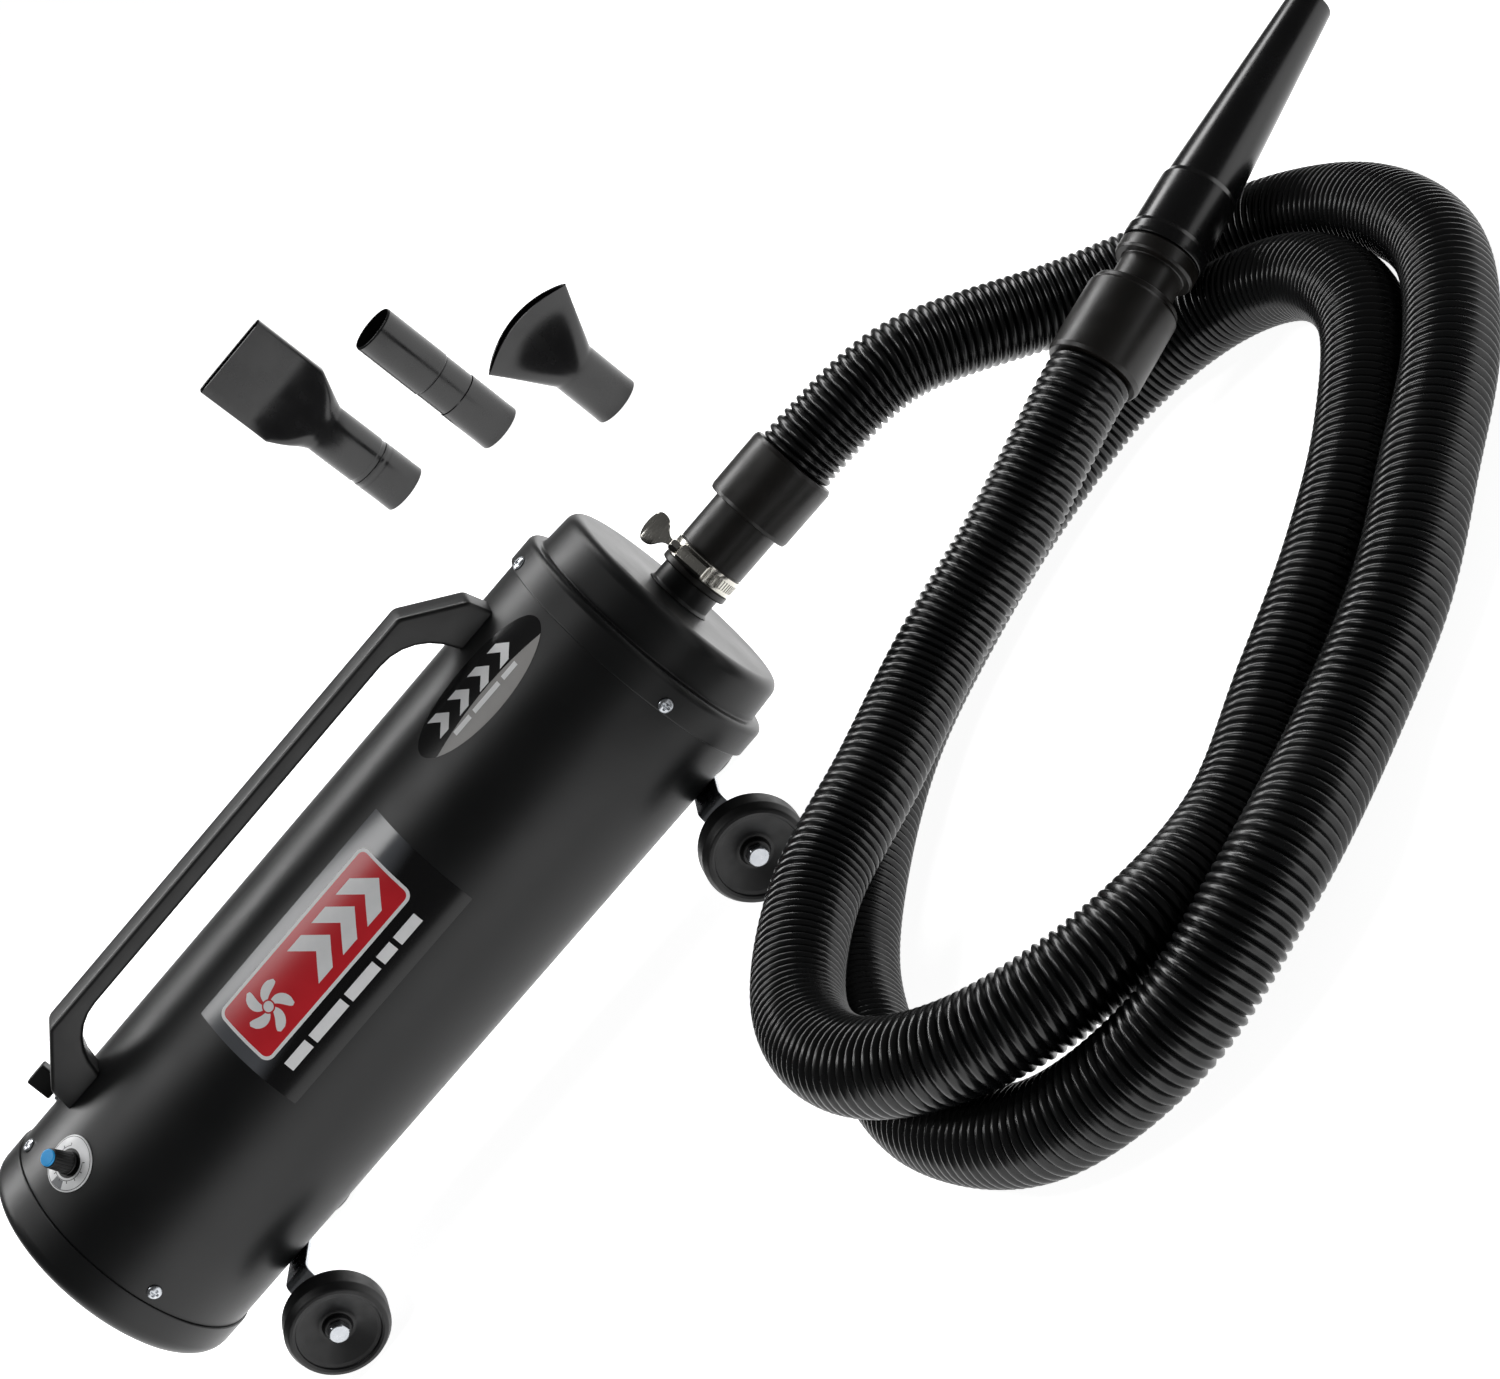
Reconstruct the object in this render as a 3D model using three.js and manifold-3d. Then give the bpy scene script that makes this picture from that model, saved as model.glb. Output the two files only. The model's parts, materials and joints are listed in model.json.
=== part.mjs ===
// Car dryer blower: a twin-motor canister on four fixed wheels, with a ribbed hose, a blower nozzle and three
// spare nozzles. Millimetres, +Z up, floor at z = 0. The canister's axis runs along X and blows towards +X.
import * as THREE from "three";
import { mergeVertices } from "three/addons/utils/BufferGeometryUtils.js";
import Module from "manifold-3d";

const wasm = await Module();
wasm.setup();

// ---- driving dimensions ------------------------------------------------------------------------------------

const GAP = 0.3; // between pieces that touch
const RUNNING = 0.4; // radial clearance of a turning piece
const ROUND = 32; // sides of the canister and of all that is fitted to it

const TUBE_RADIUS = 101.5;
const TUBE_WALL = 1.6;
const TUBE_REAR = -285; // where the tube ends, along X
const TUBE_FRONT = 281;

const CAP_WALL = 1.6;
const CAP_CORNER = 13; // the round edge of each end cap
const CAP_END = 32; // from the tube's rear end to the rear face
const CAP_PROUD = 1.6; // how far the rear cap stands out from the tube
const FLANGE_LENGTH = 22; // rear cap inside the tube

const SKIRT_WALL = 3;
const SKIRT_LENGTH = 19; // front cap outside the tube
const SHOULDER = 4; // the round edge of the skirt
const DRUM_RADIUS = 94.8; // the smaller end of the front cap
const DRUM_LENGTH = 32;

const INTAKE_EDGE = 29.5; // from the tube's radius in to the opening
const GRILLE_THICK = 1.5;
const GRILLE_HOLE = 8;
const FILTER_THICK = 14;

const WHEEL_RADIUS = 38;
const WHEEL_WIDTH = 28;
const WHEEL_BASE = 451;
const TREAD_TUCK = 0.5; // from the tube's side out to the middle of a tread
const AXLE_BELOW = 20; // from the tube's underside down to the axles
const AXLE_RADIUS = 4;
const BOLT_HEAD = 8; // across its corners, as a radius
const BOLT_HEAD_THICK = 6;
const NUT_THICK = 6;
const HUB_HALF = 9.4; // hub face from the wheel's middle plane

const STRAP_WIDTH = 22;
const STRAP_THICK = 3;

const HANDLE_HALF = 230; // half its length over the feet
const HANDLE_RISE = 48.5; // above the tube
const GRIP_THICK = 13.5;
const GRIP_WIDTH = 24;
const FOOT_LENGTH = 34;

const SCREW_HEAD = 5.3;
const SCREW_SHANK = 2;
const CAP_SCREWS = 4; // round each end

const CONTROL_X = -249; // dial and switch
const CONTROL_ANGLE = 29; // degrees from the top, dial to the near side and switch to the far side
const DIAL_RADIUS = 20;
const DIAL_THICK = 1;
const KNOB_RADIUS = 7.6;
const KNOB_HEIGHT = 19;
const KNOB_SHAFT = 3;
const PADDLE = [18, 12, 20]; // along X, across, outwards
const SWITCH_BUSHING = 5.8;
const SWITCH_THROW = 24; // degrees between on and off

const NECK_RADIUS = 23.1;
const NECK_LENGTH = 35; // out of the front face
const NECK_SHOWN = 16; // before the hose connector
const CONNECTOR_RADIUS = 26.2;
const CONNECTOR_LENGTH = 108;
const CONNECTOR_LIP = 5;
const CUFF_RADIUS = 33.5;
const CUFF_LENGTH = 50;
const BAND_WIDTH = 13;
const BAND_THICK = 0.9;
const CLAMP_ANGLE = 53; // screw housing, from the top towards the near side
const CLAMP_HOUSING = [12, 24, 10]; // along X, along the screw, outwards
const CLAMP_SCREW = 2.8;

const HOSE_RADIUS = 29;
const HOSE_SIDES = 8;
const HOSE_STEPS = 60;
const HOSE_LEAD = 20; // straight out of each cuff

const TOOL_HEIGHT = 94; // the nozzle end lies on two turns of hose
const TOOL_START = [617, -126];
const TOOL_ANGLE = 23; // degrees from X towards Y
const TOOL_CUFF_LENGTH = 62;
const TOOL_CUFF_RADIUS = 33;
const COUPLING_NECK = 22;
const COUPLING_RADIUS = 22.3;
const COUPLING_BORE = 18;
const COUPLING_RING = [28.5, 12]; // radius, length
const SPIGOT_RADIUS = 23.4;
const SPIGOT_LENGTH = 42;
const NOZZLE_SOCKET = [27.8, 54]; // radius, length
const NOZZLE_RING = [29.3, 12];
const NOZZLE_CONE = 160;
const NOZZLE_BASE = 25.4;
const NOZZLE_TIP = 15.8;
const NOZZLE_WALL = 2;

const MOTOR_PLACES = { rear: -150, front: 60 }; // the mounting plates, along X
const PLATE_THICK = 2; // the fan case's rim, out to the tube
const FAN_CASE_RADIUS = 72;
const FAN_CASE_LENGTH = 44;
const FAN_CASE_WALL = 1.5;
const EYE_RADIUS = 24; // inlet of a fan case
const IMPELLER_RADIUS = 64;
const IMPELLER_THICK = 14;
const BLADES = 7;
const MOTOR_RADIUS = 44;
const MOTOR_LENGTH = 74;
const ARMATURE_RADIUS = 24;
const BRACKET_THICK = 3;
const SHAFT_RADIUS = 4.5;

const SLOT_NOZZLE = { x: 79, y: 1141, radius: 28, height: 237, width: 97, depth: 16 };
const EXTENSION = { x: 208, y: 1025, radius: 26, height: 171 };
const FAN_NOZZLE = { x: 325, y: 807, radius: 25.5, height: 129, width: 113, depth: 20 };

// The hose's centre line from the outlet cuff to the tool's cuff: one line is one point.
const HOSE_ROUTE = [
  [539, -1, 150],
  [648, -3, 85],
  [731, -17, 45],
  [787, -67, 31],
  [816, -149, 30],
  [811, -248, 31],
  [763, -336, 31],
  [698, -405, 31],
  [629, -471, 30],
  [549, -525, 32],
  [470, -582, 45],
  [375, -603, 39],
  [285, -567, 31],
  [232, -485, 30],
  [222, -392, 30],
  [239, -299, 30],
  [289, -215, 31],
  [353, -145, 31],
  [432, -96, 30],
  [526, -59, 30],
  [629, -44, 30],
  [712, -81, 32],
  [755, -148, 34],
  [752, -237, 35],
  [694, -324, 32],
  [625, -390, 30],
  [550, -446, 30],
  [471, -509, 36],
  [383, -549, 64],
  [290, -534, 83],
  [230, -476, 91],
  [216, -394, 91],
  [261, -299, 86],
  [340, -241, 79],
  [419, -189, 77],
  [509, -164, 84],
];

// ---- derived places ----------------------------------------------------------------------------------------

const AXLE_DROP = TUBE_RADIUS + AXLE_BELOW;
const AXIS_HEIGHT = AXLE_DROP + WHEEL_RADIUS;
const HANDLE_TOP = TUBE_RADIUS + HANDLE_RISE;
const INTAKE_RADIUS = TUBE_RADIUS - INTAKE_EDGE;
const TUBE_INSIDE = TUBE_RADIUS - TUBE_WALL;
const REAR_FACE = TUBE_REAR - CAP_END;
const SKIRT_REAR = TUBE_FRONT - SKIRT_LENGTH;
const SKIRT_FRONT = TUBE_FRONT + SHOULDER;
const FRONT_FACE = SKIRT_FRONT + DRUM_LENGTH;
const SKIRT_RADIUS = TUBE_RADIUS + GAP + SKIRT_WALL;
const FRONT_SCREW_X = SKIRT_REAR + SCREW_HEAD + 0.7;
const REAR_SCREW_X = TUBE_REAR + FLANGE_LENGTH / 2 - 1;
const CONNECTOR_REAR = FRONT_FACE + NECK_SHOWN;
const CONNECTOR_FRONT = CONNECTOR_REAR + CONNECTOR_LENGTH;
const CUFF_REAR = CONNECTOR_FRONT - CUFF_LENGTH;
const HOSE_START = CONNECTOR_FRONT + GAP;
const BAND_X = CONNECTOR_REAR + CONNECTOR_LIP + 0.8 + BAND_WIDTH / 2;
const TREAD_Y = TUBE_RADIUS + TREAD_TUCK;
const STRAP_Y = TREAD_Y - WHEEL_WIDTH / 2 - 2 * GAP - STRAP_THICK / 2;
const HANDLE_FOOT_INSIDE = HANDLE_HALF - FOOT_LENGTH;

// The origin is on the floor, in the middle of the box round the canister, its connector and the spare nozzles.
const FOOTPRINT_NEAR = TREAD_Y + HUB_HALF + GAP + BOLT_HEAD_THICK;
const FOOTPRINT_FAR = SLOT_NOZZLE.y + SLOT_NOZZLE.radius;
const FOOTPRINT_MIDDLE_X = (REAR_FACE + CONNECTOR_FRONT) / 2;
const FOOTPRINT_MIDDLE_Y = (FOOTPRINT_FAR - FOOTPRINT_NEAR) / 2;

// ---- shapes ------------------------------------------------------------------------------------------------

// A ring of points on an arc, in the plane of a profile or an outline; angles in degrees.
function arc(centreU, centreV, radius, from, to, steps = 3) {
  return Array.from({ length: steps + 1 }, (_, i) => {
    const angle = THREE.MathUtils.degToRad(from + ((to - from) * i) / steps);
    return [centreU + radius * Math.cos(angle), centreV + radius * Math.sin(angle)];
  });
}

// A closed profile of [along, radius] turned about an axis through the origin.
function turned(profile, axis = "x", segments = 24) {
  const points = profile.map(([along, radius]) => new THREE.Vector2(Math.max(radius, 0), along));
  if (THREE.ShapeUtils.area(points) < 0) points.reverse();
  const closed = points.some((point) => point.x === 0) ? startOnAxis(points) : [...points, points[0].clone()];
  const geometry = new THREE.LatheGeometry(closed, segments);
  if (axis === "x") geometry.rotateZ(-Math.PI / 2);
  if (axis === "z") geometry.rotateX(Math.PI / 2);
  return geometry;
}

// The same points, turned round so that the stretch along the axis is the one left open.
function startOnAxis(points) {
  const last = points.findIndex((point, i) => point.x === 0 && points[(i + 1) % points.length].x === 0);
  const start = (last + 1) % points.length;
  return [...points.slice(start), ...points.slice(0, start)];
}

// A ring with square edges.
const ring = (from, to, inner, outer, axis, segments) =>
  turned([[from, inner], [to, inner], [to, outer], [from, outer]], axis, segments);

const rod = (from, to, radius, axis, segments = 20) => ring(from, to, 0, radius, axis, segments);

// An outline of [u, v] points pushed along +Z.
function extruded(outline, depth, bevel = 0) {
  const shape = new THREE.Shape(outline.map(([u, v]) => new THREE.Vector2(u, v)));
  const geometry = new THREE.ExtrudeGeometry(shape, {
    depth: depth - 2 * bevel,
    bevelEnabled: bevel > 0,
    bevelSize: bevel,
    bevelOffset: -bevel,
    bevelThickness: bevel,
    bevelSegments: 2,
  });
  return geometry.translate(0, 0, bevel);
}

function box(sizeX, sizeY, sizeZ, x = 0, y = 0, z = 0) {
  return new THREE.BoxGeometry(sizeX, sizeY, sizeZ).translate(x, y, z);
}

// ---- booleans ----------------------------------------------------------------------------------------------

function toSolid(geometry) {
  const bare = (geometry.index ? geometry.toNonIndexed() : geometry).getAttribute("position");
  const merged = mergeVertices(new THREE.BufferGeometry().setAttribute("position", bare), 1e-3);
  return new wasm.Manifold(
    new wasm.Mesh({
      numProp: 3,
      vertProperties: new Float32Array(merged.attributes.position.array),
      triVerts: new Uint32Array(merged.index.array),
    }),
  );
}

function toGeometry(solid) {
  const mesh = solid.getMesh();
  const positions = new Float32Array(mesh.vertProperties);
  return new THREE.BufferGeometry()
    .setAttribute("position", new THREE.BufferAttribute(positions, 3))
    .setIndex(new THREE.BufferAttribute(new Uint32Array(mesh.triVerts), 1))
    .toNonIndexed();
}

const cut = (geometry, ...tools) =>
  toGeometry(tools.reduce((solid, tool) => solid.subtract(toSolid(tool)), toSolid(geometry)));
const joined = (geometry, ...others) =>
  toGeometry(others.reduce((solid, other) => solid.add(toSolid(other)), toSolid(geometry)));
const common = (a, b) => toGeometry(toSolid(a).intersect(toSolid(b)));

// ---- the scene graph ---------------------------------------------------------------------------------------

const MATERIALS = {
  coat: { color: "#1b1d1f", roughness: 0.55, metalness: 0.3 },
  zinc: { color: "#c9ccd0", roughness: 0.3, metalness: 0.9 },
  plastic: { color: "#17181a", roughness: 0.5, metalness: 0 },
  rubber: { color: "#121314", roughness: 0.6, metalness: 0 },
  gloss: { color: "#0d0e0f", roughness: 0.25, metalness: 0 },
  blue: { color: "#1ea0e6", roughness: 0.35, metalness: 0 },
  dial: { color: "#d8dadd", roughness: 0.4, metalness: 0.2 },
  foam: { color: "#3a3c3f", roughness: 0.9, metalness: 0 },
  copper: { color: "#a4552f", roughness: 0.4, metalness: 0.8 },
};

const root = new THREE.Group();
const floor = new THREE.Group(); // under the middle of the canister
floor.position.set(-FOOTPRINT_MIDDLE_X, -FOOTPRINT_MIDDLE_Y, 0);
root.add(floor);
const canister = new THREE.Group();
canister.position.z = AXIS_HEIGHT;
floor.add(canister);

function piece(parent, name, geometry, material) {
  const mesh = new THREE.Mesh(geometry, new THREE.MeshStandardMaterial(MATERIALS[material]));
  mesh.name = name;
  parent.add(mesh);
  return mesh;
}

// A frame on the canister's surface, its +Z pointing straight out of the axis; the angle runs from the top to -Y.
function radialFrame(x, degrees, radius = 0) {
  const outward = new THREE.Group();
  outward.rotation.x = THREE.MathUtils.degToRad(degrees);
  outward.position.set(x, 0, 0);
  const frame = new THREE.Group();
  frame.position.z = radius;
  outward.add(frame);
  canister.add(outward);
  return frame;
}

// A round hole straight through a wall of the canister.
function radialHole(x, degrees, radius) {
  const reach = TUBE_RADIUS / 2;
  const bit = rod(TUBE_RADIUS - reach, TUBE_RADIUS + reach, radius, "z", 10);
  return bit.rotateX(THREE.MathUtils.degToRad(degrees)).translate(x, 0, 0);
}

const screwAngles = Array.from({ length: CAP_SCREWS }, (_, i) => (360 / CAP_SCREWS) * i);
const screwHoles = (x) => screwAngles.map((angle) => radialHole(x, angle, SCREW_SHANK + GAP));

// ---- canister ----------------------------------------------------------------------------------------------

const HANDLE_SCREW_X = HANDLE_HALF - FOOT_LENGTH / 2;

function bodyTube() {
  const tube = ring(TUBE_REAR, TUBE_FRONT, TUBE_INSIDE, TUBE_RADIUS, "x", ROUND);
  return cut(
    tube,
    ...screwHoles(REAR_SCREW_X),
    ...screwHoles(FRONT_SCREW_X),
    radialHole(CONTROL_X, CONTROL_ANGLE, KNOB_SHAFT + 2 + GAP),
    radialHole(CONTROL_X, -CONTROL_ANGLE, SWITCH_BUSHING + GAP),
    radialHole(HANDLE_SCREW_X, 0, SCREW_SHANK + GAP),
    radialHole(-HANDLE_SCREW_X, 0, SCREW_SHANK + GAP),
    radialHole(WHEEL_BASE / 2, 180, SCREW_SHANK + GAP),
    radialHole(-WHEEL_BASE / 2, 180, SCREW_SHANK + GAP),
  );
}

function rearCap() {
  const outer = TUBE_RADIUS + CAP_PROUD;
  const inner = outer - CAP_WALL;
  const flange = TUBE_INSIDE - GAP;
  const step = TUBE_REAR - GAP;
  const bend = REAR_FACE + CAP_CORNER;
  const profile = [
    [TUBE_REAR + FLANGE_LENGTH, flange],
    [step, flange],
    [step, outer],
    ...arc(bend, outer - CAP_CORNER, CAP_CORNER, 90, 180),
    [REAR_FACE, INTAKE_RADIUS],
    [REAR_FACE + CAP_WALL, INTAKE_RADIUS],
    ...arc(bend, outer - CAP_CORNER, CAP_CORNER - CAP_WALL, 180, 90),
    [step - CAP_WALL, inner],
    [step - CAP_WALL, flange - CAP_WALL],
    [TUBE_REAR + FLANGE_LENGTH, flange - CAP_WALL],
  ];
  return cut(turned(profile, "x", ROUND), ...screwHoles(REAR_SCREW_X));
}

function frontCap() {
  const inner = DRUM_RADIUS - CAP_WALL;
  const bend = FRONT_FACE - CAP_CORNER;
  const profile = [
    [SKIRT_REAR, TUBE_RADIUS + GAP],
    [SKIRT_REAR, SKIRT_RADIUS],
    ...arc(SKIRT_FRONT - SHOULDER, SKIRT_RADIUS - SHOULDER, SHOULDER, 90, 0, 2),
    [SKIRT_FRONT, DRUM_RADIUS + 1],
    [SKIRT_FRONT + 1, DRUM_RADIUS],
    ...arc(bend, DRUM_RADIUS - CAP_CORNER, CAP_CORNER, 90, 0),
    [FRONT_FACE, NECK_RADIUS + GAP],
    [FRONT_FACE - CAP_WALL, NECK_RADIUS + GAP],
    ...arc(bend, DRUM_RADIUS - CAP_CORNER, CAP_CORNER - CAP_WALL, 0, 90),
    [TUBE_FRONT + GAP, inner],
    [TUBE_FRONT + GAP, TUBE_RADIUS + GAP],
  ];
  return cut(turned(profile, "x", ROUND), ...screwHoles(FRONT_SCREW_X));
}

// A disc with rings of round holes; it sits behind the rear cap's opening.
function intakeGrille() {
  const from = REAR_FACE + CAP_WALL + GAP;
  const disc = rod(from, from + GRILLE_THICK, INTAKE_RADIUS + 8, "x", 32);
  const holes = [];
  for (let row = 1; row <= 2; row++) {
    const count = 6 * row;
    for (let i = 0; i < count; i++) {
      const angle = (2 * Math.PI * i) / count;
      const reach = (row * (INTAKE_RADIUS - GRILLE_HOLE)) / 2.4;
      const bit = rod(from - 1, from + GRILLE_THICK + 1, GRILLE_HOLE, "x", 6);
      holes.push(bit.translate(0, reach * Math.cos(angle), reach * Math.sin(angle)));
    }
  }
  return cut(disc, ...holes);
}

function intakeFilter() {
  const from = REAR_FACE + CAP_WALL + GRILLE_THICK + 2 * GAP;
  return rod(from, from + FILTER_THICK, TUBE_RADIUS + CAP_PROUD - CAP_CORNER, "x", ROUND);
}

piece(canister, "body_tube", bodyTube(), "coat");
piece(canister, "rear_cap", rearCap(), "coat");
piece(canister, "front_cap", frontCap(), "coat");
piece(canister, "intake_grille", intakeGrille(), "coat");
piece(canister, "intake_filter", intakeFilter(), "foam");

// A pan-head screw pointing into the canister, its head on the frame's XY plane.
function panScrew(shank) {
  return turned(
    [
      [-shank, 0],
      [-shank, SCREW_SHANK],
      [GAP, SCREW_SHANK],
      [GAP, SCREW_HEAD],
      [GAP + 1, SCREW_HEAD],
      [GAP + 2.6, SCREW_HEAD * 0.5],
      [GAP + 2.6, 0],
    ],
    "z",
    8,
  );
}

for (const [i, angle] of screwAngles.entries()) {
  piece(radialFrame(REAR_SCREW_X, angle, TUBE_RADIUS), `rear_cap_screw_${i + 1}`, panScrew(7), "zinc");
  piece(radialFrame(FRONT_SCREW_X, angle, SKIRT_RADIUS), `front_cap_screw_${i + 1}`, panScrew(8), "zinc");
}

// ---- handle ------------------------------------------------------------------------------------------------

// The side view in (x, z) above the axis; the feet run below the tube's surface and are cut to it.
function handleOutline() {
  const low = TUBE_RADIUS - 12;
  const under = HANDLE_TOP - GRIP_THICK;
  const right = [
    [HANDLE_HALF + 1, low],
    [HANDLE_HALF - 2, HANDLE_TOP - 31],
    [HANDLE_HALF - 40, HANDLE_TOP],
  ];
  const arch = [
    [HANDLE_FOOT_INSIDE - 36, under],
    [HANDLE_FOOT_INSIDE - 24, under - 2],
    [HANDLE_FOOT_INSIDE - 13, under - 8],
    [HANDLE_FOOT_INSIDE - 5, under - 18],
    [HANDLE_FOOT_INSIDE, under - 33],
    [HANDLE_FOOT_INSIDE + 1, low],
  ];
  const mirrored = (points) => points.map(([x, z]) => [-x, z]).reverse();
  return [...right, ...mirrored(right), ...mirrored(arch), ...arch];
}

function handle() {
  const bar = extruded(handleOutline(), GRIP_WIDTH, 2.5)
    .rotateX(Math.PI / 2)
    .translate(0, GRIP_WIDTH / 2, 0);
  const canisterRoom = rod(-2 * HANDLE_HALF, 2 * HANDLE_HALF, TUBE_RADIUS + GAP, "x", ROUND);
  const screwRoom = [-1, 1].map((side) =>
    rod(TUBE_RADIUS - 20, TUBE_RADIUS + 15, SCREW_SHANK + GAP, "z", 10).translate(side * HANDLE_SCREW_X, 0, 0),
  );
  return cut(bar, canisterRoom, ...screwRoom);
}

piece(canister, "handle", handle(), "plastic");
for (const [end, side] of [["rear", -1], ["front", 1]]) {
  const inside = radialFrame(side * HANDLE_SCREW_X, 0, TUBE_INSIDE - GAP);
  inside.rotation.x = Math.PI; // driven from inside the tube, outwards
  piece(inside, `handle_screw_${end}`, panScrew(TUBE_WALL + 12), "zinc");
}

// ---- wheels on bent straps ---------------------------------------------------------------------------------

// Half of the strap's middle line in (y, z): under the tube, up along its side, over the bend and down.
function strapPath() {
  const hug = TUBE_RADIUS + GAP + STRAP_THICK / 2;
  const crest = [STRAP_Y - 14, -AXLE_DROP + 32];
  return [
    ...arc(0, 0, hug, 270, 285, 2),
    crest,
    [crest[0] + 3, crest[1] - 2.5],
    [STRAP_Y, -AXLE_DROP + 12],
    [STRAP_Y, -AXLE_DROP - 12],
  ];
}

// A path thickened to both sides into a closed outline.
function thickened(path, thick) {
  const side = (sign) =>
    path.map(([u, v], i) => {
      const before = path[Math.max(i - 1, 0)];
      const after = path[Math.min(i + 1, path.length - 1)];
      const first = new THREE.Vector2(u - before[0], v - before[1]).normalize();
      const second = new THREE.Vector2(after[0] - u, after[1] - v).normalize();
      const along = first.clone().add(second).normalize();
      const lean = Math.max(along.dot(i ? first : second), 0.5);
      const reach = (sign * thick) / 2 / lean;
      return [u - along.y * reach, v + along.x * reach];
    });
  return [...side(-1), ...side(1).reverse()];
}

function axleStrap() {
  const half = strapPath();
  const path = [...half.slice(1).map(([y, z]) => [-y, z]).reverse(), ...half];
  const flat = extruded(thickened(path, STRAP_THICK), STRAP_WIDTH);
  const strap = flat.rotateX(Math.PI / 2).rotateZ(Math.PI / 2).translate(-STRAP_WIDTH / 2, 0, 0);
  const bit = rod(-2 * STRAP_Y, 2 * STRAP_Y, AXLE_RADIUS + GAP, "y", 16).translate(0, 0, -AXLE_DROP);
  const up = rod(-TUBE_RADIUS - 20, -TUBE_RADIUS + 5, SCREW_SHANK + GAP, "z", 10);
  return cut(strap, bit, up);
}

// The wheel about the Y axis, its dished face towards +Y.
function wheel() {
  const half = WHEEL_WIDTH / 2;
  const bore = AXLE_RADIUS + RUNNING;
  return turned(
    [
      [-half, bore],
      [-half, WHEEL_RADIUS - 5],
      [-half + 6, WHEEL_RADIUS],
      [half - 7, WHEEL_RADIUS],
      [half - 3, WHEEL_RADIUS - 1.6],
      [half, WHEEL_RADIUS - 6],
      [half, WHEEL_RADIUS - 8],
      [half - 3, WHEEL_RADIUS - 11],
      [half - 9, 11],
      [HUB_HALF, 9.5],
      [HUB_HALF, bore],
    ],
    "y",
    24,
  );
}

const hexagon = (from, to, radius) => rod(from, to, radius, "y", 6);

function axleBolt() {
  const headFrom = HUB_HALF + GAP;
  const tip = STRAP_Y - STRAP_THICK / 2 - NUT_THICK - 2 - TREAD_Y;
  return joined(hexagon(headFrom, headFrom + BOLT_HEAD_THICK, BOLT_HEAD), rod(tip, headFrom + 1, AXLE_RADIUS, "y", 16));
}

function axleNut() {
  const outer = STRAP_Y - STRAP_THICK / 2 - GAP - TREAD_Y;
  return ringHexagon(outer - NUT_THICK + 2 * GAP, outer);
}

const ringHexagon = (from, to) =>
  cut(hexagon(from, to, BOLT_HEAD), rod(from - 1, to + 1, AXLE_RADIUS + GAP, "y", 16));

for (const [end, along] of [["front", 1], ["rear", -1]]) {
  const axle = new THREE.Group();
  axle.position.x = (along * WHEEL_BASE) / 2;
  canister.add(axle);
  piece(axle, `axle_strap_${end}`, axleStrap(), "zinc");
  const below = radialFrame((along * WHEEL_BASE) / 2, 180, TUBE_RADIUS + GAP + STRAP_THICK);
  piece(below, `axle_strap_screw_${end}`, panScrew(10), "zinc");
  for (const [name, side] of [["near", -1], ["far", 1]]) {
    const corner = new THREE.Group();
    corner.position.set(0, side * TREAD_Y, -AXLE_DROP);
    corner.rotation.z = side < 0 ? Math.PI : 0;
    axle.add(corner);
    piece(corner, `wheel_${end}_${name}`, wheel(), "rubber");
    piece(corner, `axle_bolt_${end}_${name}`, axleBolt(), "zinc");
    piece(corner, `axle_nut_${end}_${name}`, axleNut(), "zinc");
  }
}

// ---- speed control and power switch ------------------------------------------------------------------------

function dialPlate() {
  const from = TUBE_RADIUS + GAP;
  const shell = ring(-DIAL_RADIUS - 2, DIAL_RADIUS + 2, from, from + DIAL_THICK, "x", 2 * ROUND);
  const outside = rod(TUBE_RADIUS - 10, TUBE_RADIUS + 10, DIAL_RADIUS, "z", 28);
  const hole = rod(TUBE_RADIUS - 20, TUBE_RADIUS + 20, KNOB_SHAFT + 2 + GAP, "z", 16);
  return cut(common(shell, outside), hole);
}

// The rotary control under the tube's wall, with its bushing through the wall.
function speedControl() {
  const wall = -TUBE_WALL - 2;
  const can = rod(wall - 12, wall, 11, "z", 24);
  const bushing = rod(wall - 1, DIAL_THICK + 2 * GAP, KNOB_SHAFT + 2, "z", 20);
  return cut(joined(can, bushing), rod(wall - 10, 10, KNOB_SHAFT + RUNNING, "z", 16));
}

function speedKnob() {
  const low = DIAL_THICK + 4 * GAP;
  return turned(
    [
      [-TUBE_WALL - 8, 0],
      [-TUBE_WALL - 8, KNOB_SHAFT],
      [low, KNOB_SHAFT],
      [low, KNOB_RADIUS + 0.9],
      [low + 1.2, KNOB_RADIUS + 0.9],
      [low + 1.8, KNOB_RADIUS],
      [low + KNOB_HEIGHT - 1, KNOB_RADIUS - 1.1],
      [low + KNOB_HEIGHT, KNOB_RADIUS - 1.5],
      [low + KNOB_HEIGHT, 0],
    ],
    "z",
    20,
  );
}

function knobCap() {
  const low = DIAL_THICK + 5 * GAP + KNOB_HEIGHT;
  return rod(low, low + 1.6, KNOB_RADIUS - 1.6, "z", 20);
}

const dial = radialFrame(CONTROL_X, CONTROL_ANGLE);
piece(dial, "dial_plate", dialPlate(), "dial");
const knobFrame = radialFrame(CONTROL_X, CONTROL_ANGLE, TUBE_RADIUS);
piece(knobFrame, "speed_control", speedControl(), "plastic");
piece(knobFrame, "speed_knob", speedKnob(), "plastic");
piece(knobFrame, "knob_cap", knobCap(), "blue");

const SWITCH_NUT_THICK = 2.6;
const BUSHING_TOP = GAP + SWITCH_NUT_THICK + 2;

function switchBody() {
  const wall = -TUBE_WALL - 2.5;
  const housing = box(28, 15, 20, 0, 0, wall - 10);
  const bushing = rod(wall - 1, BUSHING_TOP, SWITCH_BUSHING, "z", 20);
  return cut(joined(housing, bushing), rod(-8, 10, 4, "z", 16));
}

function switchNut() {
  const plate = rod(GAP, GAP + SWITCH_NUT_THICK, 9, "z", 6);
  return cut(plate, rod(-5, 10, SWITCH_BUSHING + GAP, "z", 20));
}

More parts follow.
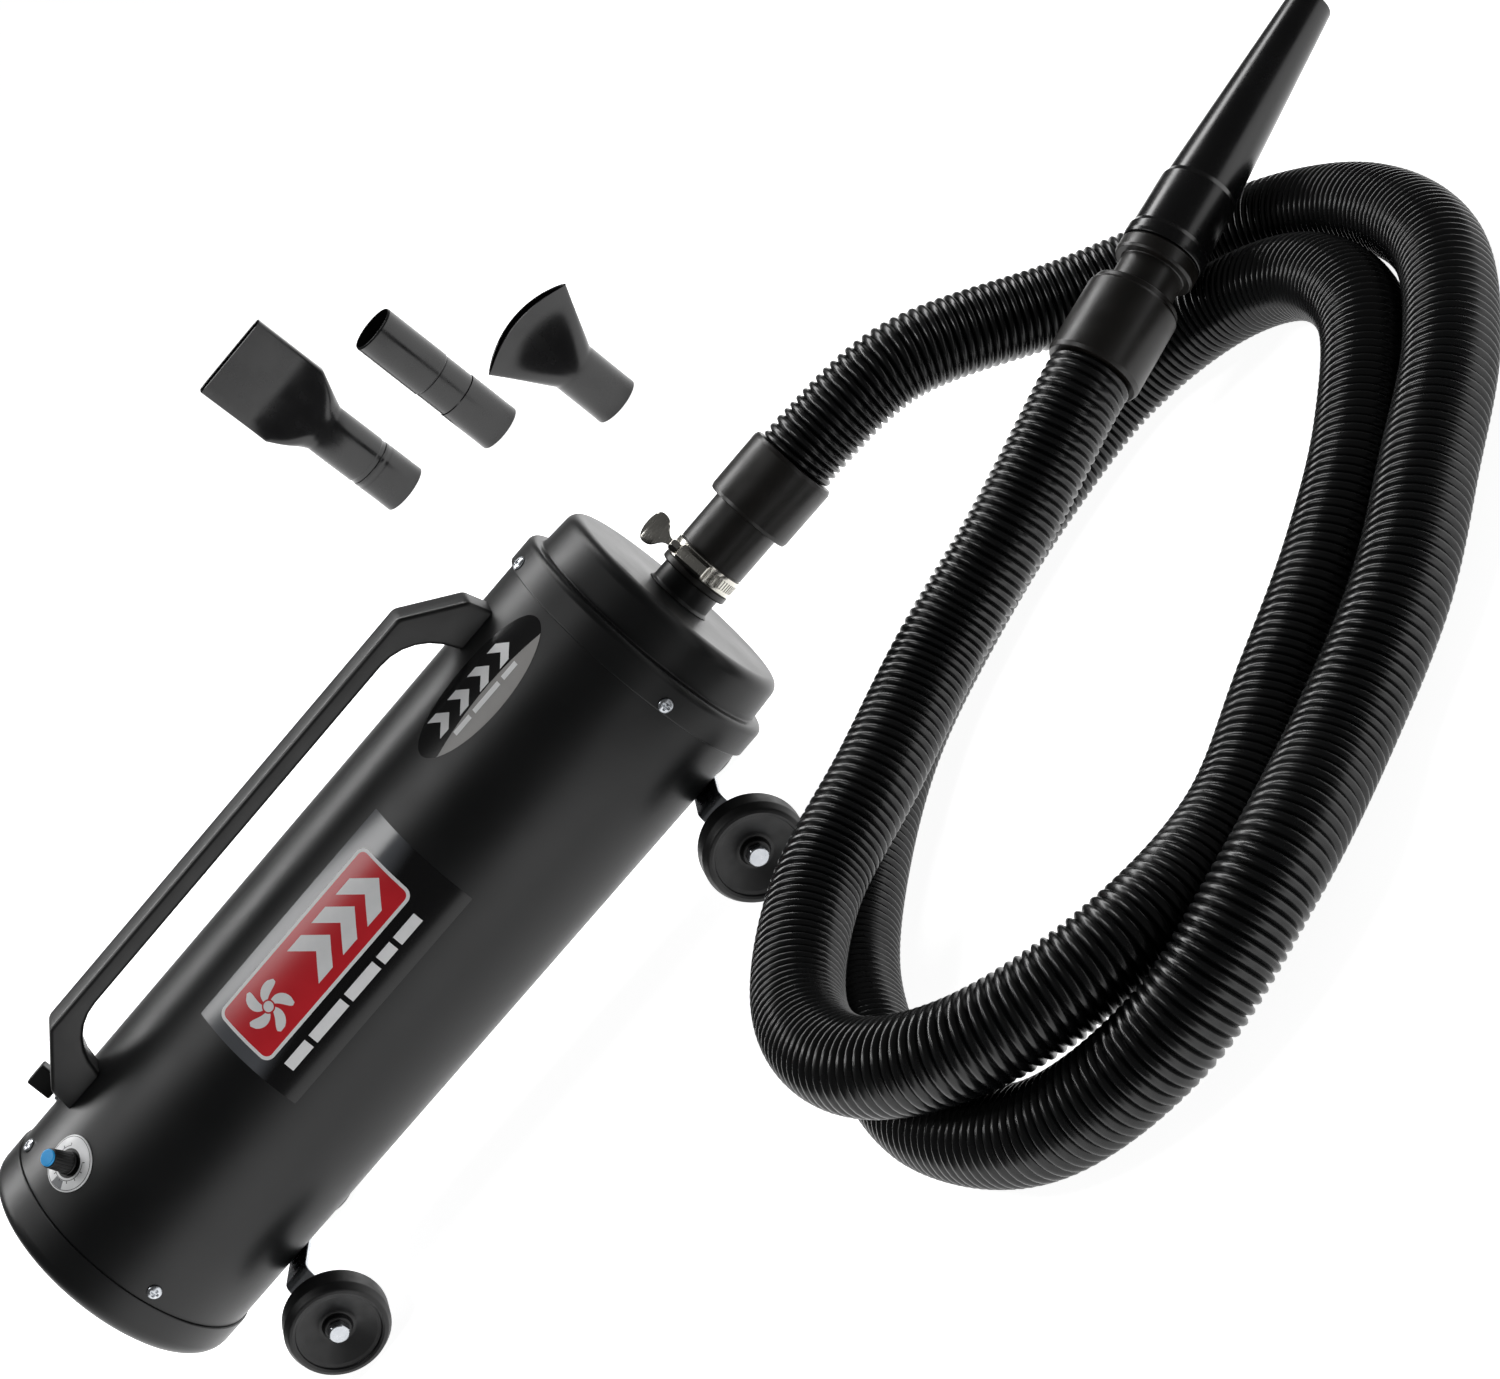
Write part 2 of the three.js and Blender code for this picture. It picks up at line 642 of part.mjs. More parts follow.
// The flat paddle on its stem; it rocks about the X axis through the frame's origin.
function switchPaddle() {
  const low = BUSHING_TOP + 1.6;
  const [along, across, out] = PADDLE;
  const side = [
    [-across / 2 + 1.5, low],
    [across / 2 - 1.5, low],
    [across / 2, low + 2],
    [across / 2 - 1, low + out - 2],
    [across / 2 - 2.5, low + out],
    [-across / 2 + 2.5, low + out],
    [-across / 2 + 1, low + out - 2],
    [-across / 2, low + 2],
  ];
  const block = extruded(side, along, 1).rotateX(Math.PI / 2).rotateZ(Math.PI / 2).translate(-along / 2, 0, 0);
  return joined(block, rod(-2.5, low + 1, 2, "z", 12));
}

const switchFrame = radialFrame(CONTROL_X, -CONTROL_ANGLE, TUBE_RADIUS);
piece(switchFrame, "switch_body", switchBody(), "plastic");
piece(switchFrame, "switch_nut", switchNut(), "zinc");
piece(switchFrame, "switch_paddle", switchPaddle(), "plastic").rotation.x = THREE.MathUtils.degToRad(SWITCH_THROW / 2);

// ---- outlet: neck, hose connector, clamp and cuff ----------------------------------------------------------

function outletNeck() {
  const inside = FRONT_FACE - CAP_WALL - GAP;
  return turned([
    [inside - 2, NECK_RADIUS - 1.6],
    [inside - 2, NECK_RADIUS + 12],
    [inside, NECK_RADIUS + 12],
    [inside, NECK_RADIUS],
    [FRONT_FACE + NECK_LENGTH, NECK_RADIUS],
    [FRONT_FACE + NECK_LENGTH, NECK_RADIUS - 1.6],
  ]);
}

const BAND_INSIDE = CONNECTOR_RADIUS - 0.5 + GAP;

function hoseConnector() {
  const seat = CONNECTOR_RADIUS - 0.5;
  const lip = CONNECTOR_REAR + CONNECTOR_LIP;
  const stop = FRONT_FACE + NECK_LENGTH + GAP;
  return turned([
    [CONNECTOR_REAR, NECK_RADIUS + GAP],
    [CONNECTOR_REAR, CONNECTOR_RADIUS + 0.7],
    [lip, CONNECTOR_RADIUS + 0.7],
    [lip, seat],
    [lip + BAND_WIDTH + 2, seat],
    [lip + BAND_WIDTH + 2, CONNECTOR_RADIUS],
    [CONNECTOR_FRONT, CONNECTOR_RADIUS],
    [CONNECTOR_FRONT, NECK_RADIUS - 1.6],
    [stop, NECK_RADIUS - 1.6],
    [stop, NECK_RADIUS + GAP],
  ]);
}

const clampBand = () =>
  ring(BAND_X - BAND_WIDTH / 2, BAND_X + BAND_WIDTH / 2, BAND_INSIDE, BAND_INSIDE + BAND_THICK, "x", 24);

function clampHousing() {
  const [along, length, high] = CLAMP_HOUSING;
  const seat = BAND_INSIDE + BAND_THICK + GAP;
  const side = [
    [-along / 2, seat - 2],
    [along / 2, seat - 2],
    [along / 2, seat + high * 0.55],
    ...arc(0, seat + high * 0.5, high * 0.5, 20, 160, 6),
    [-along / 2, seat + high * 0.55],
  ];
  const block = extruded(side, length).rotateX(Math.PI / 2).translate(0, length / 2, 0);
  const bandRoom = rod(-along, along, seat, "x", 24);
  const screwRoom = rod(-length, length, CLAMP_SCREW + RUNNING, "y", 16).translate(0, 0, CLAMP_AXIS);
  return cut(block, bandRoom, screwRoom);
}

const CLAMP_AXIS = BAND_INSIDE + BAND_THICK + GAP + CLAMP_HOUSING[2] * 0.5;

// The worm screw along Y with its hexagon head and flat butterfly key.
function clampScrew() {
  const half = CLAMP_HOUSING[1] / 2;
  const screw = rod(-half - 2, half + 3, CLAMP_SCREW, "y", 16);
  const head = rod(half + 1, half + 8, 4.6, "y", 6);
  const keyFrom = half + 7;
  const key = [
    [-4, keyFrom],
    [4, keyFrom],
    [8, keyFrom + 9],
    [12.5, keyFrom + 14],
    [12.5, keyFrom + 20],
    [9, keyFrom + 24],
    [3, keyFrom + 21.5],
    [-3, keyFrom + 21.5],
    [-9, keyFrom + 24],
    [-12.5, keyFrom + 20],
    [-12.5, keyFrom + 14],
    [-8, keyFrom + 9],
  ];
  return joined(screw, head, extruded(key, 1.8).translate(0, 0, -0.9)).translate(0, 0, CLAMP_AXIS);
}

const cuff = (from, length, inner, outer) =>
  turned([
    [from, inner],
    [from, outer - 1.5],
    [from + 1.5, outer],
    [from + length - 1.5, outer],
    [from + length, outer - 1.5],
    [from + length, inner],
  ]);

piece(canister, "outlet_neck", outletNeck(), "coat");
piece(canister, "hose_connector", hoseConnector(), "rubber");
piece(canister, "clamp_band", clampBand(), "zinc");
const clampFrame = radialFrame(BAND_X, CLAMP_ANGLE);
piece(clampFrame, "clamp_housing", clampHousing(), "zinc");
piece(clampFrame, "clamp_thumb_screw", clampScrew(), "zinc");
piece(canister, "outlet_cuff", cuff(CUFF_REAR, CUFF_LENGTH, CONNECTOR_RADIUS + GAP, CUFF_RADIUS), "rubber");

// ---- hose and its nozzle end -------------------------------------------------------------------------------

const toolFrame = new THREE.Group();
toolFrame.position.set(...TOOL_START, TOOL_HEIGHT);
toolFrame.rotation.z = THREE.MathUtils.degToRad(TOOL_ANGLE);
floor.add(toolFrame);

function hose() {
  const heading = new THREE.Vector3(1, 0, 0).applyEuler(toolFrame.rotation);
  const fromTool = (distance) => toolFrame.position.clone().addScaledVector(heading, -distance);
  const points = [
    new THREE.Vector3(HOSE_START, 0, AXIS_HEIGHT),
    new THREE.Vector3(HOSE_START + HOSE_LEAD, 0, AXIS_HEIGHT),
    ...HOSE_ROUTE.map((point) => new THREE.Vector3(...point)),
    fromTool(GAP + HOSE_LEAD),
    fromTool(GAP),
  ];
  const section = new THREE.Shape(arc(0, 0, HOSE_RADIUS, 0, 360 - 360 / HOSE_SIDES, HOSE_SIDES - 1)
    .map(([u, v]) => new THREE.Vector2(u, v)));
  return new THREE.ExtrudeGeometry(section, {
    steps: HOSE_STEPS,
    extrudePath: new THREE.CatmullRomCurve3(points),
  });
}

const RING_START = TOOL_CUFF_LENGTH + COUPLING_NECK;
const NOZZLE_START = RING_START + COUPLING_RING[1] + GAP;

function toolCoupling() {
  const insert = 20;
  const shoulder = RING_START + COUPLING_RING[1];
  return turned([
    [TOOL_CUFF_LENGTH - insert, COUPLING_BORE],
    [TOOL_CUFF_LENGTH - insert, COUPLING_RADIUS],
    [RING_START, COUPLING_RADIUS],
    [RING_START, COUPLING_RING[0]],
    [shoulder, COUPLING_RING[0]],
    [shoulder, SPIGOT_RADIUS],
    [shoulder + SPIGOT_LENGTH, SPIGOT_RADIUS - 0.4],
    [shoulder + SPIGOT_LENGTH, COUPLING_BORE],
  ]);
}

function blowerNozzle() {
  const [socket, socketLength] = NOZZLE_SOCKET;
  const ringEnd = NOZZLE_START + NOZZLE_RING[1];
  const coneStart = NOZZLE_START + socketLength;
  const tip = coneStart + NOZZLE_CONE;
  return turned([
    [NOZZLE_START, SPIGOT_RADIUS + GAP],
    [NOZZLE_START, NOZZLE_RING[0]],
    [ringEnd, NOZZLE_RING[0]],
    [ringEnd + 0.8, socket],
    [coneStart, socket],
    [coneStart + 0.8, NOZZLE_BASE],
    [tip, NOZZLE_TIP],
    [tip, NOZZLE_TIP - NOZZLE_WALL],
    [coneStart, NOZZLE_BASE - NOZZLE_WALL],
    [coneStart - 4, SPIGOT_RADIUS + GAP],
  ]);
}

function toolCuff() {
  const bore = TOOL_CUFF_LENGTH - 20 - GAP;
  return turned([
    [0, COUPLING_BORE],
    [0, TOOL_CUFF_RADIUS - 1.5],
    [1.5, TOOL_CUFF_RADIUS],
    [TOOL_CUFF_LENGTH - 1.5, TOOL_CUFF_RADIUS],
    [TOOL_CUFF_LENGTH, TOOL_CUFF_RADIUS - 1.5],
    [TOOL_CUFF_LENGTH, COUPLING_RADIUS + GAP],
    [bore, COUPLING_RADIUS + GAP],
    [bore, COUPLING_BORE],
  ]);
}

piece(floor, "hose", hose(), "gloss");
piece(toolFrame, "tool_cuff", toolCuff(), "rubber");
piece(toolFrame, "tool_coupling", toolCoupling(), "plastic");
piece(toolFrame, "blower_nozzle", blowerNozzle(), "plastic");

// ---- two motors in line ------------------------------------------------------------------------------------

function fanCase() {
  const inner = FAN_CASE_RADIUS - FAN_CASE_WALL;
  return turned([
    [-4, EYE_RADIUS],
    [-4, FAN_CASE_RADIUS],
    [0, FAN_CASE_RADIUS],
    [0, TUBE_INSIDE - GAP],
    [PLATE_THICK, TUBE_INSIDE - GAP],
    [PLATE_THICK, FAN_CASE_RADIUS],
    [FAN_CASE_LENGTH, FAN_CASE_RADIUS],
    [FAN_CASE_LENGTH, MOTOR_RADIUS + GAP],
    [FAN_CASE_LENGTH - FAN_CASE_WALL, MOTOR_RADIUS + GAP],
    [FAN_CASE_LENGTH - FAN_CASE_WALL, inner],
    [-4 + FAN_CASE_WALL, inner],
    [-4 + FAN_CASE_WALL, EYE_RADIUS],
  ], "x", ROUND);
}

function impeller() {
  const back = 12 + IMPELLER_THICK;
  const disc = ring(back - 2.5, back, SHAFT_RADIUS + GAP, IMPELLER_RADIUS, "x", 24);
  const hub = ring(10, back, SHAFT_RADIUS + GAP, 11, "x", 20);
  const blades = Array.from({ length: BLADES }, (_, i) => {
    const blade = box(IMPELLER_THICK - 2, IMPELLER_RADIUS - 16, 2, back - IMPELLER_THICK / 2 - 1, 0, 0);
    blade.rotateX(0.5).translate(0, (IMPELLER_RADIUS - 3) / 2, -6);
    return blade.rotateX((2 * Math.PI * i) / BLADES);
  });
  return joined(disc, hub, ...blades);
}

// The stator's shell with a bearing bracket at each end; its rear end sits in the fan case's opening.
function motorFrame() {
  const from = FAN_CASE_LENGTH - 6;
  const to = from + MOTOR_LENGTH;
  const bearing = SHAFT_RADIUS + RUNNING;
  const field = ARMATURE_RADIUS + 4;
  return turned([
    [from, bearing],
    [from, MOTOR_RADIUS],
    [to, MOTOR_RADIUS],
    [to, bearing],
    [to - BRACKET_THICK, bearing],
    [to - BRACKET_THICK, field],
    [from + BRACKET_THICK, field],
    [from + BRACKET_THICK, bearing],
  ]);
}

function armature() {
  const from = FAN_CASE_LENGTH + 4;
  const to = from + MOTOR_LENGTH - 22;
  return turned([
    [8, 0],
    [8, SHAFT_RADIUS],
    [from, SHAFT_RADIUS],
    [from, ARMATURE_RADIUS],
    [to - 14, ARMATURE_RADIUS],
    [to - 12, 13],
    [to, 13],
    [to, SHAFT_RADIUS],
    [to + 16, SHAFT_RADIUS],
    [to + 16, 0],
  ], "x", 24);
}

for (const [end, x] of Object.entries(MOTOR_PLACES)) {
  const unit = new THREE.Group();
  unit.position.x = x;
  canister.add(unit);
  piece(unit, `fan_case_${end}`, fanCase(), "zinc");
  piece(unit, `impeller_${end}`, impeller(), "zinc");
  piece(unit, `motor_frame_${end}`, motorFrame(), "zinc");
  piece(unit, `armature_${end}`, armature(), "copper");
}

// ---- spare nozzles, standing on their sockets --------------------------------------------------------------

// A loft through closed rings of equally many points, closed at both ends.
function lofted(rings) {
  const count = rings[0].length;
  const positions = rings.flat(2);
  const index = [];
  for (let level = 0; level + 1 < rings.length; level++) {
    for (let i = 0; i < count; i++) {
      const a = level * count + i;
      const b = level * count + ((i + 1) % count);
      index.push(a, b, b + count, a, b + count, a + count);
    }
  }
  const top = (rings.length - 1) * count;
  for (let i = 1; i + 1 < count; i++) {
    index.push(0, i + 1, i);
    index.push(top, top + i, top + i + 1);
  }
  return new THREE.BufferGeometry()
    .setAttribute("position", new THREE.Float32BufferAttribute(positions, 3))
    .setIndex(index);
}

// A closed ring at a height: round at power 2, nearly a rectangle with round corners at power 6.
function oval(width, depth, height, power = 2, crown = 0, count = 20) {
  return Array.from({ length: count }, (_, i) => {
    const angle = (2 * Math.PI * i) / count;
    const bent = (value) => Math.sign(value) * Math.abs(value) ** (2 / power);
    const x = (width / 2) * bent(Math.cos(angle));
    const y = (depth / 2) * bent(Math.sin(angle));
    return [x, y, height - crown * (x / (width / 2)) ** 2];
  });
}

function slotNozzle() {
  const { radius, height, width, depth } = SLOT_NOZZLE;
  const wall = 2.2;
  const shoulder = height * 0.49;
  const flatFrom = height * 0.61;
  const point = height * 0.74;
  const stem = lofted([
    oval(2 * radius, 2 * radius, 0),
    oval(2 * radius, 2 * radius, 48),
    oval(2 * radius - 4, 2 * radius - 4, 48.5),
    oval(2 * radius - 4, 2 * radius - 4, 54),
    oval(2 * radius, 2 * radius, 54.5),
    oval(2 * radius - 3, 2 * radius - 3, shoulder),
    oval(depth * 0.6, depth * 0.6, point),
  ]);
  const blade = lofted([
    oval(2 * radius - 8, depth - 2, shoulder - 8, 4),
    oval(2 * radius - 4, depth, shoulder, 5),
    oval(width - 2, depth, flatFrom, 6),
    oval(width, depth - 1, height, 6),
  ]);
  const socket = lofted([
    oval(2 * SPIGOT_RADIUS + 1, 2 * SPIGOT_RADIUS + 1, -1),
    oval(2 * SPIGOT_RADIUS + 1, 2 * SPIGOT_RADIUS + 1, shoulder - 6),
    oval(depth - 2 * wall, depth - 2 * wall, point - 16),
  ]);
  const slot = lofted([
    oval(2 * radius - 20, depth - 2 * wall, shoulder - 6, 4),
    oval(width - 2 * wall - 4, depth - 2 * wall, flatFrom + 3, 6),
    oval(width - 2 * wall, depth - 2 * wall - 1, height + 1, 6),
  ]);
  return cut(joined(stem, blade), socket, slot);
}

function extensionTube() {
  const { radius, height } = EXTENSION;
  const bore = SPIGOT_RADIUS + 0.4;
  return turned(
    [
      [0, bore],
      [0, radius],
      [59, radius + 0.6],
      [59.6, radius - 0.8],
      [93, radius],
      [93.6, radius - 0.6],
      [height, radius - 0.6],
      [height, bore - 1.6],
      [60, bore - 1.6],
      [56, bore],
    ],
    "z",
    28,
  );
}

function fanNozzle() {
  const { radius, height, width, depth } = FAN_NOZZLE;
  const wall = 2;
  const flare = 57;
  const outside = lofted([
    oval(2 * radius, 2 * radius, 0),
    oval(2 * radius - 1, 2 * radius - 1, flare),
    oval(2 * radius + 8, 2 * radius - 6, flare + 12, 2.4, 3),
    oval(width - 8, depth + 8, height - 22, 3.2, 11),
    oval(width, depth, height, 4, 15),
  ]);
  const inside = lofted([
    oval(2 * radius - 2 * wall, 2 * radius - 2 * wall, -1),
    oval(2 * radius - 2 * wall - 1, 2 * radius - 2 * wall - 1, flare),
    oval(2 * radius + 8 - 2 * wall, 2 * radius - 6 - 2 * wall, flare + 13, 2.4, 3),
    oval(width - 8 - 2 * wall, depth + 8 - 2 * wall, height - 21, 3.2, 11),
    oval(width - 2 * wall, depth - 2 * wall, height + 1, 4, 15),
  ]);
  return cut(outside, inside);
}

const spares = { spare_slot_nozzle: [SLOT_NOZZLE, slotNozzle], spare_extension: [EXTENSION, extensionTube] };
spares.spare_fan_nozzle = [FAN_NOZZLE, fanNozzle];
for (const [name, [place, make]] of Object.entries(spares)) {
  piece(floor, name, make(), "plastic").position.set(place.x, place.y, 0);
}

export default root;
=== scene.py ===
# %% [markdown]
# # A canister car dryer
# A steel canister on four wheels holds two motors in line. They blow through a ribbed hose into a tapered
# nozzle, and three spare nozzles stand behind it. The frame brings the measured model. Every visible piece is
# made again here as a fine surface in the same place, with a finish that follows from how the real one is made.

# %% Load the frame
import json

import bmesh
import bpy
import numpy as np
from mathutils import Matrix, Vector


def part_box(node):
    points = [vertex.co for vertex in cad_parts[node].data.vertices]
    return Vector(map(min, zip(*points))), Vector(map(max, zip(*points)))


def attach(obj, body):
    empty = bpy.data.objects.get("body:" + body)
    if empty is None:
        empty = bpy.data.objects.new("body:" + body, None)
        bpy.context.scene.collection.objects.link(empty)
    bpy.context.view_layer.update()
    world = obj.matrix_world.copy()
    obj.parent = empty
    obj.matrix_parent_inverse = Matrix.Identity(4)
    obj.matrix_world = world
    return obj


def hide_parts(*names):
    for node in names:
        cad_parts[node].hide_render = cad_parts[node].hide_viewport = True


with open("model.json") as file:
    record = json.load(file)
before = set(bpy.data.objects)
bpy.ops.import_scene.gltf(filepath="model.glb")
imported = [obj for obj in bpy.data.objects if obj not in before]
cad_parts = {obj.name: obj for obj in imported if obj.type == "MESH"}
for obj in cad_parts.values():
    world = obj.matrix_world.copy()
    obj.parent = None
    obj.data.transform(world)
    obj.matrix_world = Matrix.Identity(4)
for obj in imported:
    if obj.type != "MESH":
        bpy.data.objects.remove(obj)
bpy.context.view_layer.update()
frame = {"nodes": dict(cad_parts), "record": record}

# %% [markdown]
# ## Where things are
# Sizes below are in millimetres, measured from the middle of the canister's axis: +X runs towards the outlet and
# +Z up. The tube in the frame says where that point lies, so the whole scene follows the frame.

# %% The canister's own place
MM = 0.001
TUBE_RADIUS = 101.5
TUBE_REAR, TUBE_FRONT = -285, 281
AXLE_DROP, WHEEL_RADIUS = 121.5, 38.0
FLOOR = -(AXLE_DROP + WHEEL_RADIUS)

tube_low, tube_high = (np.array(corner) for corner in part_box("body_tube"))
MIDDLE = np.array([tube_high[0] - TUBE_FRONT * MM, *(tube_low + tube_high)[1:] / 2])
print("middle of the canister's axis:", MIDDLE.round(4))


def from_floor(points):
    """Millimetres from the floor point under the canister's middle, turned to metres in the frame."""
    return MIDDLE + (np.asarray(points, float) + [0, 0, FLOOR]) * MM


# %% [markdown]
# ## The camera
# A long lens looks down on the canister from the front right. The camera is rolled on its side, so the canister
# climbs across the frame. A camera could be aimed with a Track To constraint, but that can't hold a roll, so its
# three axes are worked out here from an azimuth, an elevation and a roll.

# %% Camera
AZIMUTH, ELEVATION, ROLL = np.radians([8.03, 25.0, 52.36])
CAMERA_PLACE = (561.7, -1880.3, 956.4)
LENS, SENSOR, FARTHEST = 70.94, 36, 100
heading = np.array([np.sin(AZIMUTH), -np.cos(AZIMUTH), 0])
back = np.cos(ELEVATION) * heading + [0, 0, np.sin(ELEVATION)]
level = np.array([np.cos(AZIMUTH), np.sin(AZIMUTH), 0])
upright = np.cross(back, level)

camera = bpy.data.objects.new("camera", bpy.data.cameras.new("camera"))
bpy.context.scene.collection.objects.link(camera)
bpy.context.scene.camera = camera
camera.data.sensor_width, camera.data.lens, camera.data.clip_end = SENSOR, LENS, FARTHEST
pose = np.eye(4)
pose[:3, 0] = np.cos(ROLL) * level - np.sin(ROLL) * upright
pose[:3, 1] = np.sin(ROLL) * level + np.cos(ROLL) * upright
pose[:3, 2] = back
pose[:3, 3] = from_floor(CAMERA_PLACE)
camera.matrix_world = Matrix(pose.tolist())
print(f"camera: {LENS} mm lens, {np.linalg.norm(CAMERA_PLACE):.0f} mm from the floor under the canister")

# %% [markdown]
# ## Surfaces from arrays
# Each shape is a grid of points worked out as whole arrays. One function turns a grid into faces. Another turns
# faces into a piece: it closes the poles, makes the faces point outwards and hands the piece to the frame. Editing
# meshes by hand could do the same, but a formula can be read and changed later.

# %% From a grid to a piece
BODY_OF = {node: body for body, nodes in frame["record"]["behaviour"]["bodies"].items() for node in nodes}


def grid(points, wrap_rows=False, wrap_columns=True):
    """A grid of points (rows, columns, 3) as vertices and quads: each quad joins a point to the next ones."""
    rows, columns = points.shape[:2]
    number = np.arange(rows * columns).reshape(rows, columns)
    if wrap_rows:
        number = np.vstack([number, number[:1]])
    if wrap_columns:
        number = np.hstack([number, number[:, :1]])
    quads = np.stack([number[:-1, :-1], number[:-1, 1:], number[1:, 1:], number[1:, :-1]], axis=-1)
    return points.reshape(-1, 3), quads.reshape(-1, 4)


def together(*parts):
    """Several lots of vertices and quads as one lot."""
    offsets = np.cumsum([0] + [len(vertices) for vertices, _ in parts])
    quads = [faces + offset for (_, faces), offset in zip(parts, offsets)]
    return np.vstack([vertices for vertices, _ in parts]), np.vstack(quads)


def capped(rows):
    """Rows of points with one more row at each end, drawn in to its middle, so that the swept shape is closed."""
    tips = [np.repeat(rows[[i]].mean(axis=1, keepdims=True), rows.shape[1], axis=1) for i in (0, -1)]
    return np.vstack([tips[0], rows, tips[1]])


def hand_over(name, mesh, material, node, body, crease):
    """An object for the mesh, smooth except at edges over crease degrees, on its body and in its node's place."""
    mesh.shade_smooth()
    mesh.set_sharp_from_angle(angle=np.radians(crease))
    mesh.materials.append(material)
    made = bpy.data.objects.new(name, mesh)
    bpy.context.scene.collection.objects.link(made)
    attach(made, body or BODY_OF[node])
    if node:
        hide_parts(node)
    print(f"{name}: {len(mesh.polygons)} faces in {material.name}")
    return made


def piece(name, parts, material, node=None, body=None, crease=38):
    """Vertices in metres and quads as a piece: doubles are merged, slivers dissolved and faces turned outwards."""
    vertices, faces = parts
    mesh = bpy.data.meshes.new(name)
    mesh.from_pydata(vertices.tolist(), [], faces.tolist())
    work = bmesh.new()
    work.from_mesh(mesh)
    bmesh.ops.remove_doubles(work, verts=work.verts, dist=2e-6)
    bmesh.ops.dissolve_degenerate(work, edges=work.edges, dist=1e-6)
    bmesh.ops.recalc_face_normals(work, faces=work.faces)
    work.to_mesh(mesh)
    work.free()
    return hand_over(name, mesh, material, node, body, crease)


# %% [markdown]
# A lathe, a press and a mould all leave small round edges, and those edges catch the light. A Bevel modifier rounds
# edges too, but all by one width, so each outline is a few corners with a radius each, and one function rounds them.

# %% Outlines with round corners
def rounded(corners, radius=0.6, closed=False, steps=5):
    """Each corner (a, b) or (a, b, radius) becomes an arc that touches both of its sides."""
    points = np.array([corner[:2] for corner in corners], float)
    stretches = []
    for i, corner in enumerate(corners):
        wanted = corner[2] if len(corner) > 2 else radius
        if wanted == 0 or (not closed and i in (0, len(corners) - 1)):
            stretches.append(points[i][None])
            continue
        before, after = points[i - 1] - points[i], points[(i + 1) % len(corners)] - points[i]
        lengths = np.linalg.norm(before), np.linalg.norm(after)
        before, after = before / lengths[0], after / lengths[1]
        half = np.arccos(np.clip(before @ after, -1, 1)) / 2
        cut = min(wanted / np.tan(half), 0.48 * lengths[0], 0.48 * lengths[1])
        centre = points[i] + (before + after) / np.linalg.norm(before + after) * cut / np.cos(half)
        start, end = points[i] + before * cut - centre, points[i] + after * cut - centre
        angle = np.pi - 2 * half
        share = np.linspace(0, 1, steps + 1)[:, None]
        arc = centre + (np.sin((1 - share) * angle) * start + np.sin(share * angle) * end) / np.sin(angle)
        ease = 0.06 * cut + 0.02  # a short straight before and after keeps the flats flat in the shading
        stretches.append(np.vstack([arc[0] + before * ease, arc, arc[-1] + after * ease]))
    return np.vstack(stretches)


print("a rounded square has", len(rounded([(0, 0), (9, 0), (9, 9), (0, 9)], closed=True)), "points")

# %% [markdown]
# A place has an origin and three directions, and its own x is the axis that a round piece turns about. Screws,
# the dial, the switch and the clamp sit on places that point straight out of the canister. Objects could be
# parented to empties instead, but the export needs each one at the origin, so the place goes into the points.

# %% Places
def place(origin, axis, up=(0, 0, 1)):
    """An origin in millimetres from the canister's middle, and the unit directions x, y and z of the place."""
    x = np.array(axis, float) / np.linalg.norm(axis)
    z = np.array(up, float) - np.dot(up, x) * x
    z /= np.linalg.norm(z)
    return np.array(origin, float), np.array([x, np.cross(z, x), z])


def outward(x, degrees, radius=0.0):
    """A place that points out of the canister's axis; the angle runs from the top towards the near side."""
    turn = np.radians(degrees)
    axis = np.array([0, -np.sin(turn), np.cos(turn)])
    return place(np.array([x, 0, 0]) + radius * axis, axis, (1, 0, 0))


def put(points, at):
    """Points in millimetres at a place, in metres in the frame."""
    origin, directions = at
    return MIDDLE + (origin + np.asarray(points, float) @ directions) * MM


AXIS = place((0, 0, 0), (1, 0, 0))
print("the top of the tube is at", put([[0, 0, TUBE_RADIUS]], AXIS).round(4))

# %% [markdown]
# Most pieces are turned or pushed out. Blender's Spin and Extrude do that to one outline at a time, by hand. Here
# the same two moves are formulas, so they run on any outline and at any place.


# %% Turned and pushed shapes
def turned(profile, at=AXIS, sides=96, ring=False, flutes=None):
    """A profile (along, radius) swept round x: y and z are the radius times the angle's cosine and sine."""
    angle = np.linspace(0, 2 * np.pi, sides, endpoint=False)
    along, radius = profile[:, :1], profile[:, 1:]
    reach = radius * (1 if flutes is None else flutes(angle, along))
    points = np.stack([along + 0 * angle, reach * np.cos(angle), reach * np.sin(angle)], axis=-1)
    return grid(put(points, at), wrap_rows=ring)


def prism(outline, low, high, at=AXIS, edge=0.6, steps=3):
    """A star-shaped outline in the place's y and z, filled from its middle and pushed from low to high in x."""
    middle = outline.mean(axis=0)
    share = np.linspace(0, np.pi / 2, steps + 1)
    inset, rise = edge * (1 - np.sin(share)), edge * (1 - np.cos(share))
    reach = np.linalg.norm(outline - middle, axis=1).mean()
    levels = [(0, low)] + [(1 - i / reach, low + r) for i, r in zip(inset, rise)]
    levels += [(1 - i / reach, high - r) for i, r in zip(inset[::-1], rise[::-1])] + [(0, high)]
    rows = [np.column_stack([np.full(len(outline), x), middle + (outline - middle) * s]) for s, x in levels]
    return grid(put(np.array(rows), at))


print("a turned rod has", len(turned(rounded([(0, 0), (0, 5), (9, 5), (9, 0)]))[1]), "faces")


# %% [markdown]
# ## Finishes
# Colours are written as the sRGB values that a paint chip or a colour picker gives. The shader works in linear
# light, so one function converts them. Another adds a shader node, and one makes a whole finish: a shader with a
# noise for its roughness, one for its bump and one for its colour, because no real surface is even. A painted or
# photographed texture would need an unwrapped mesh; noise in object space fits any shape and has a real size.

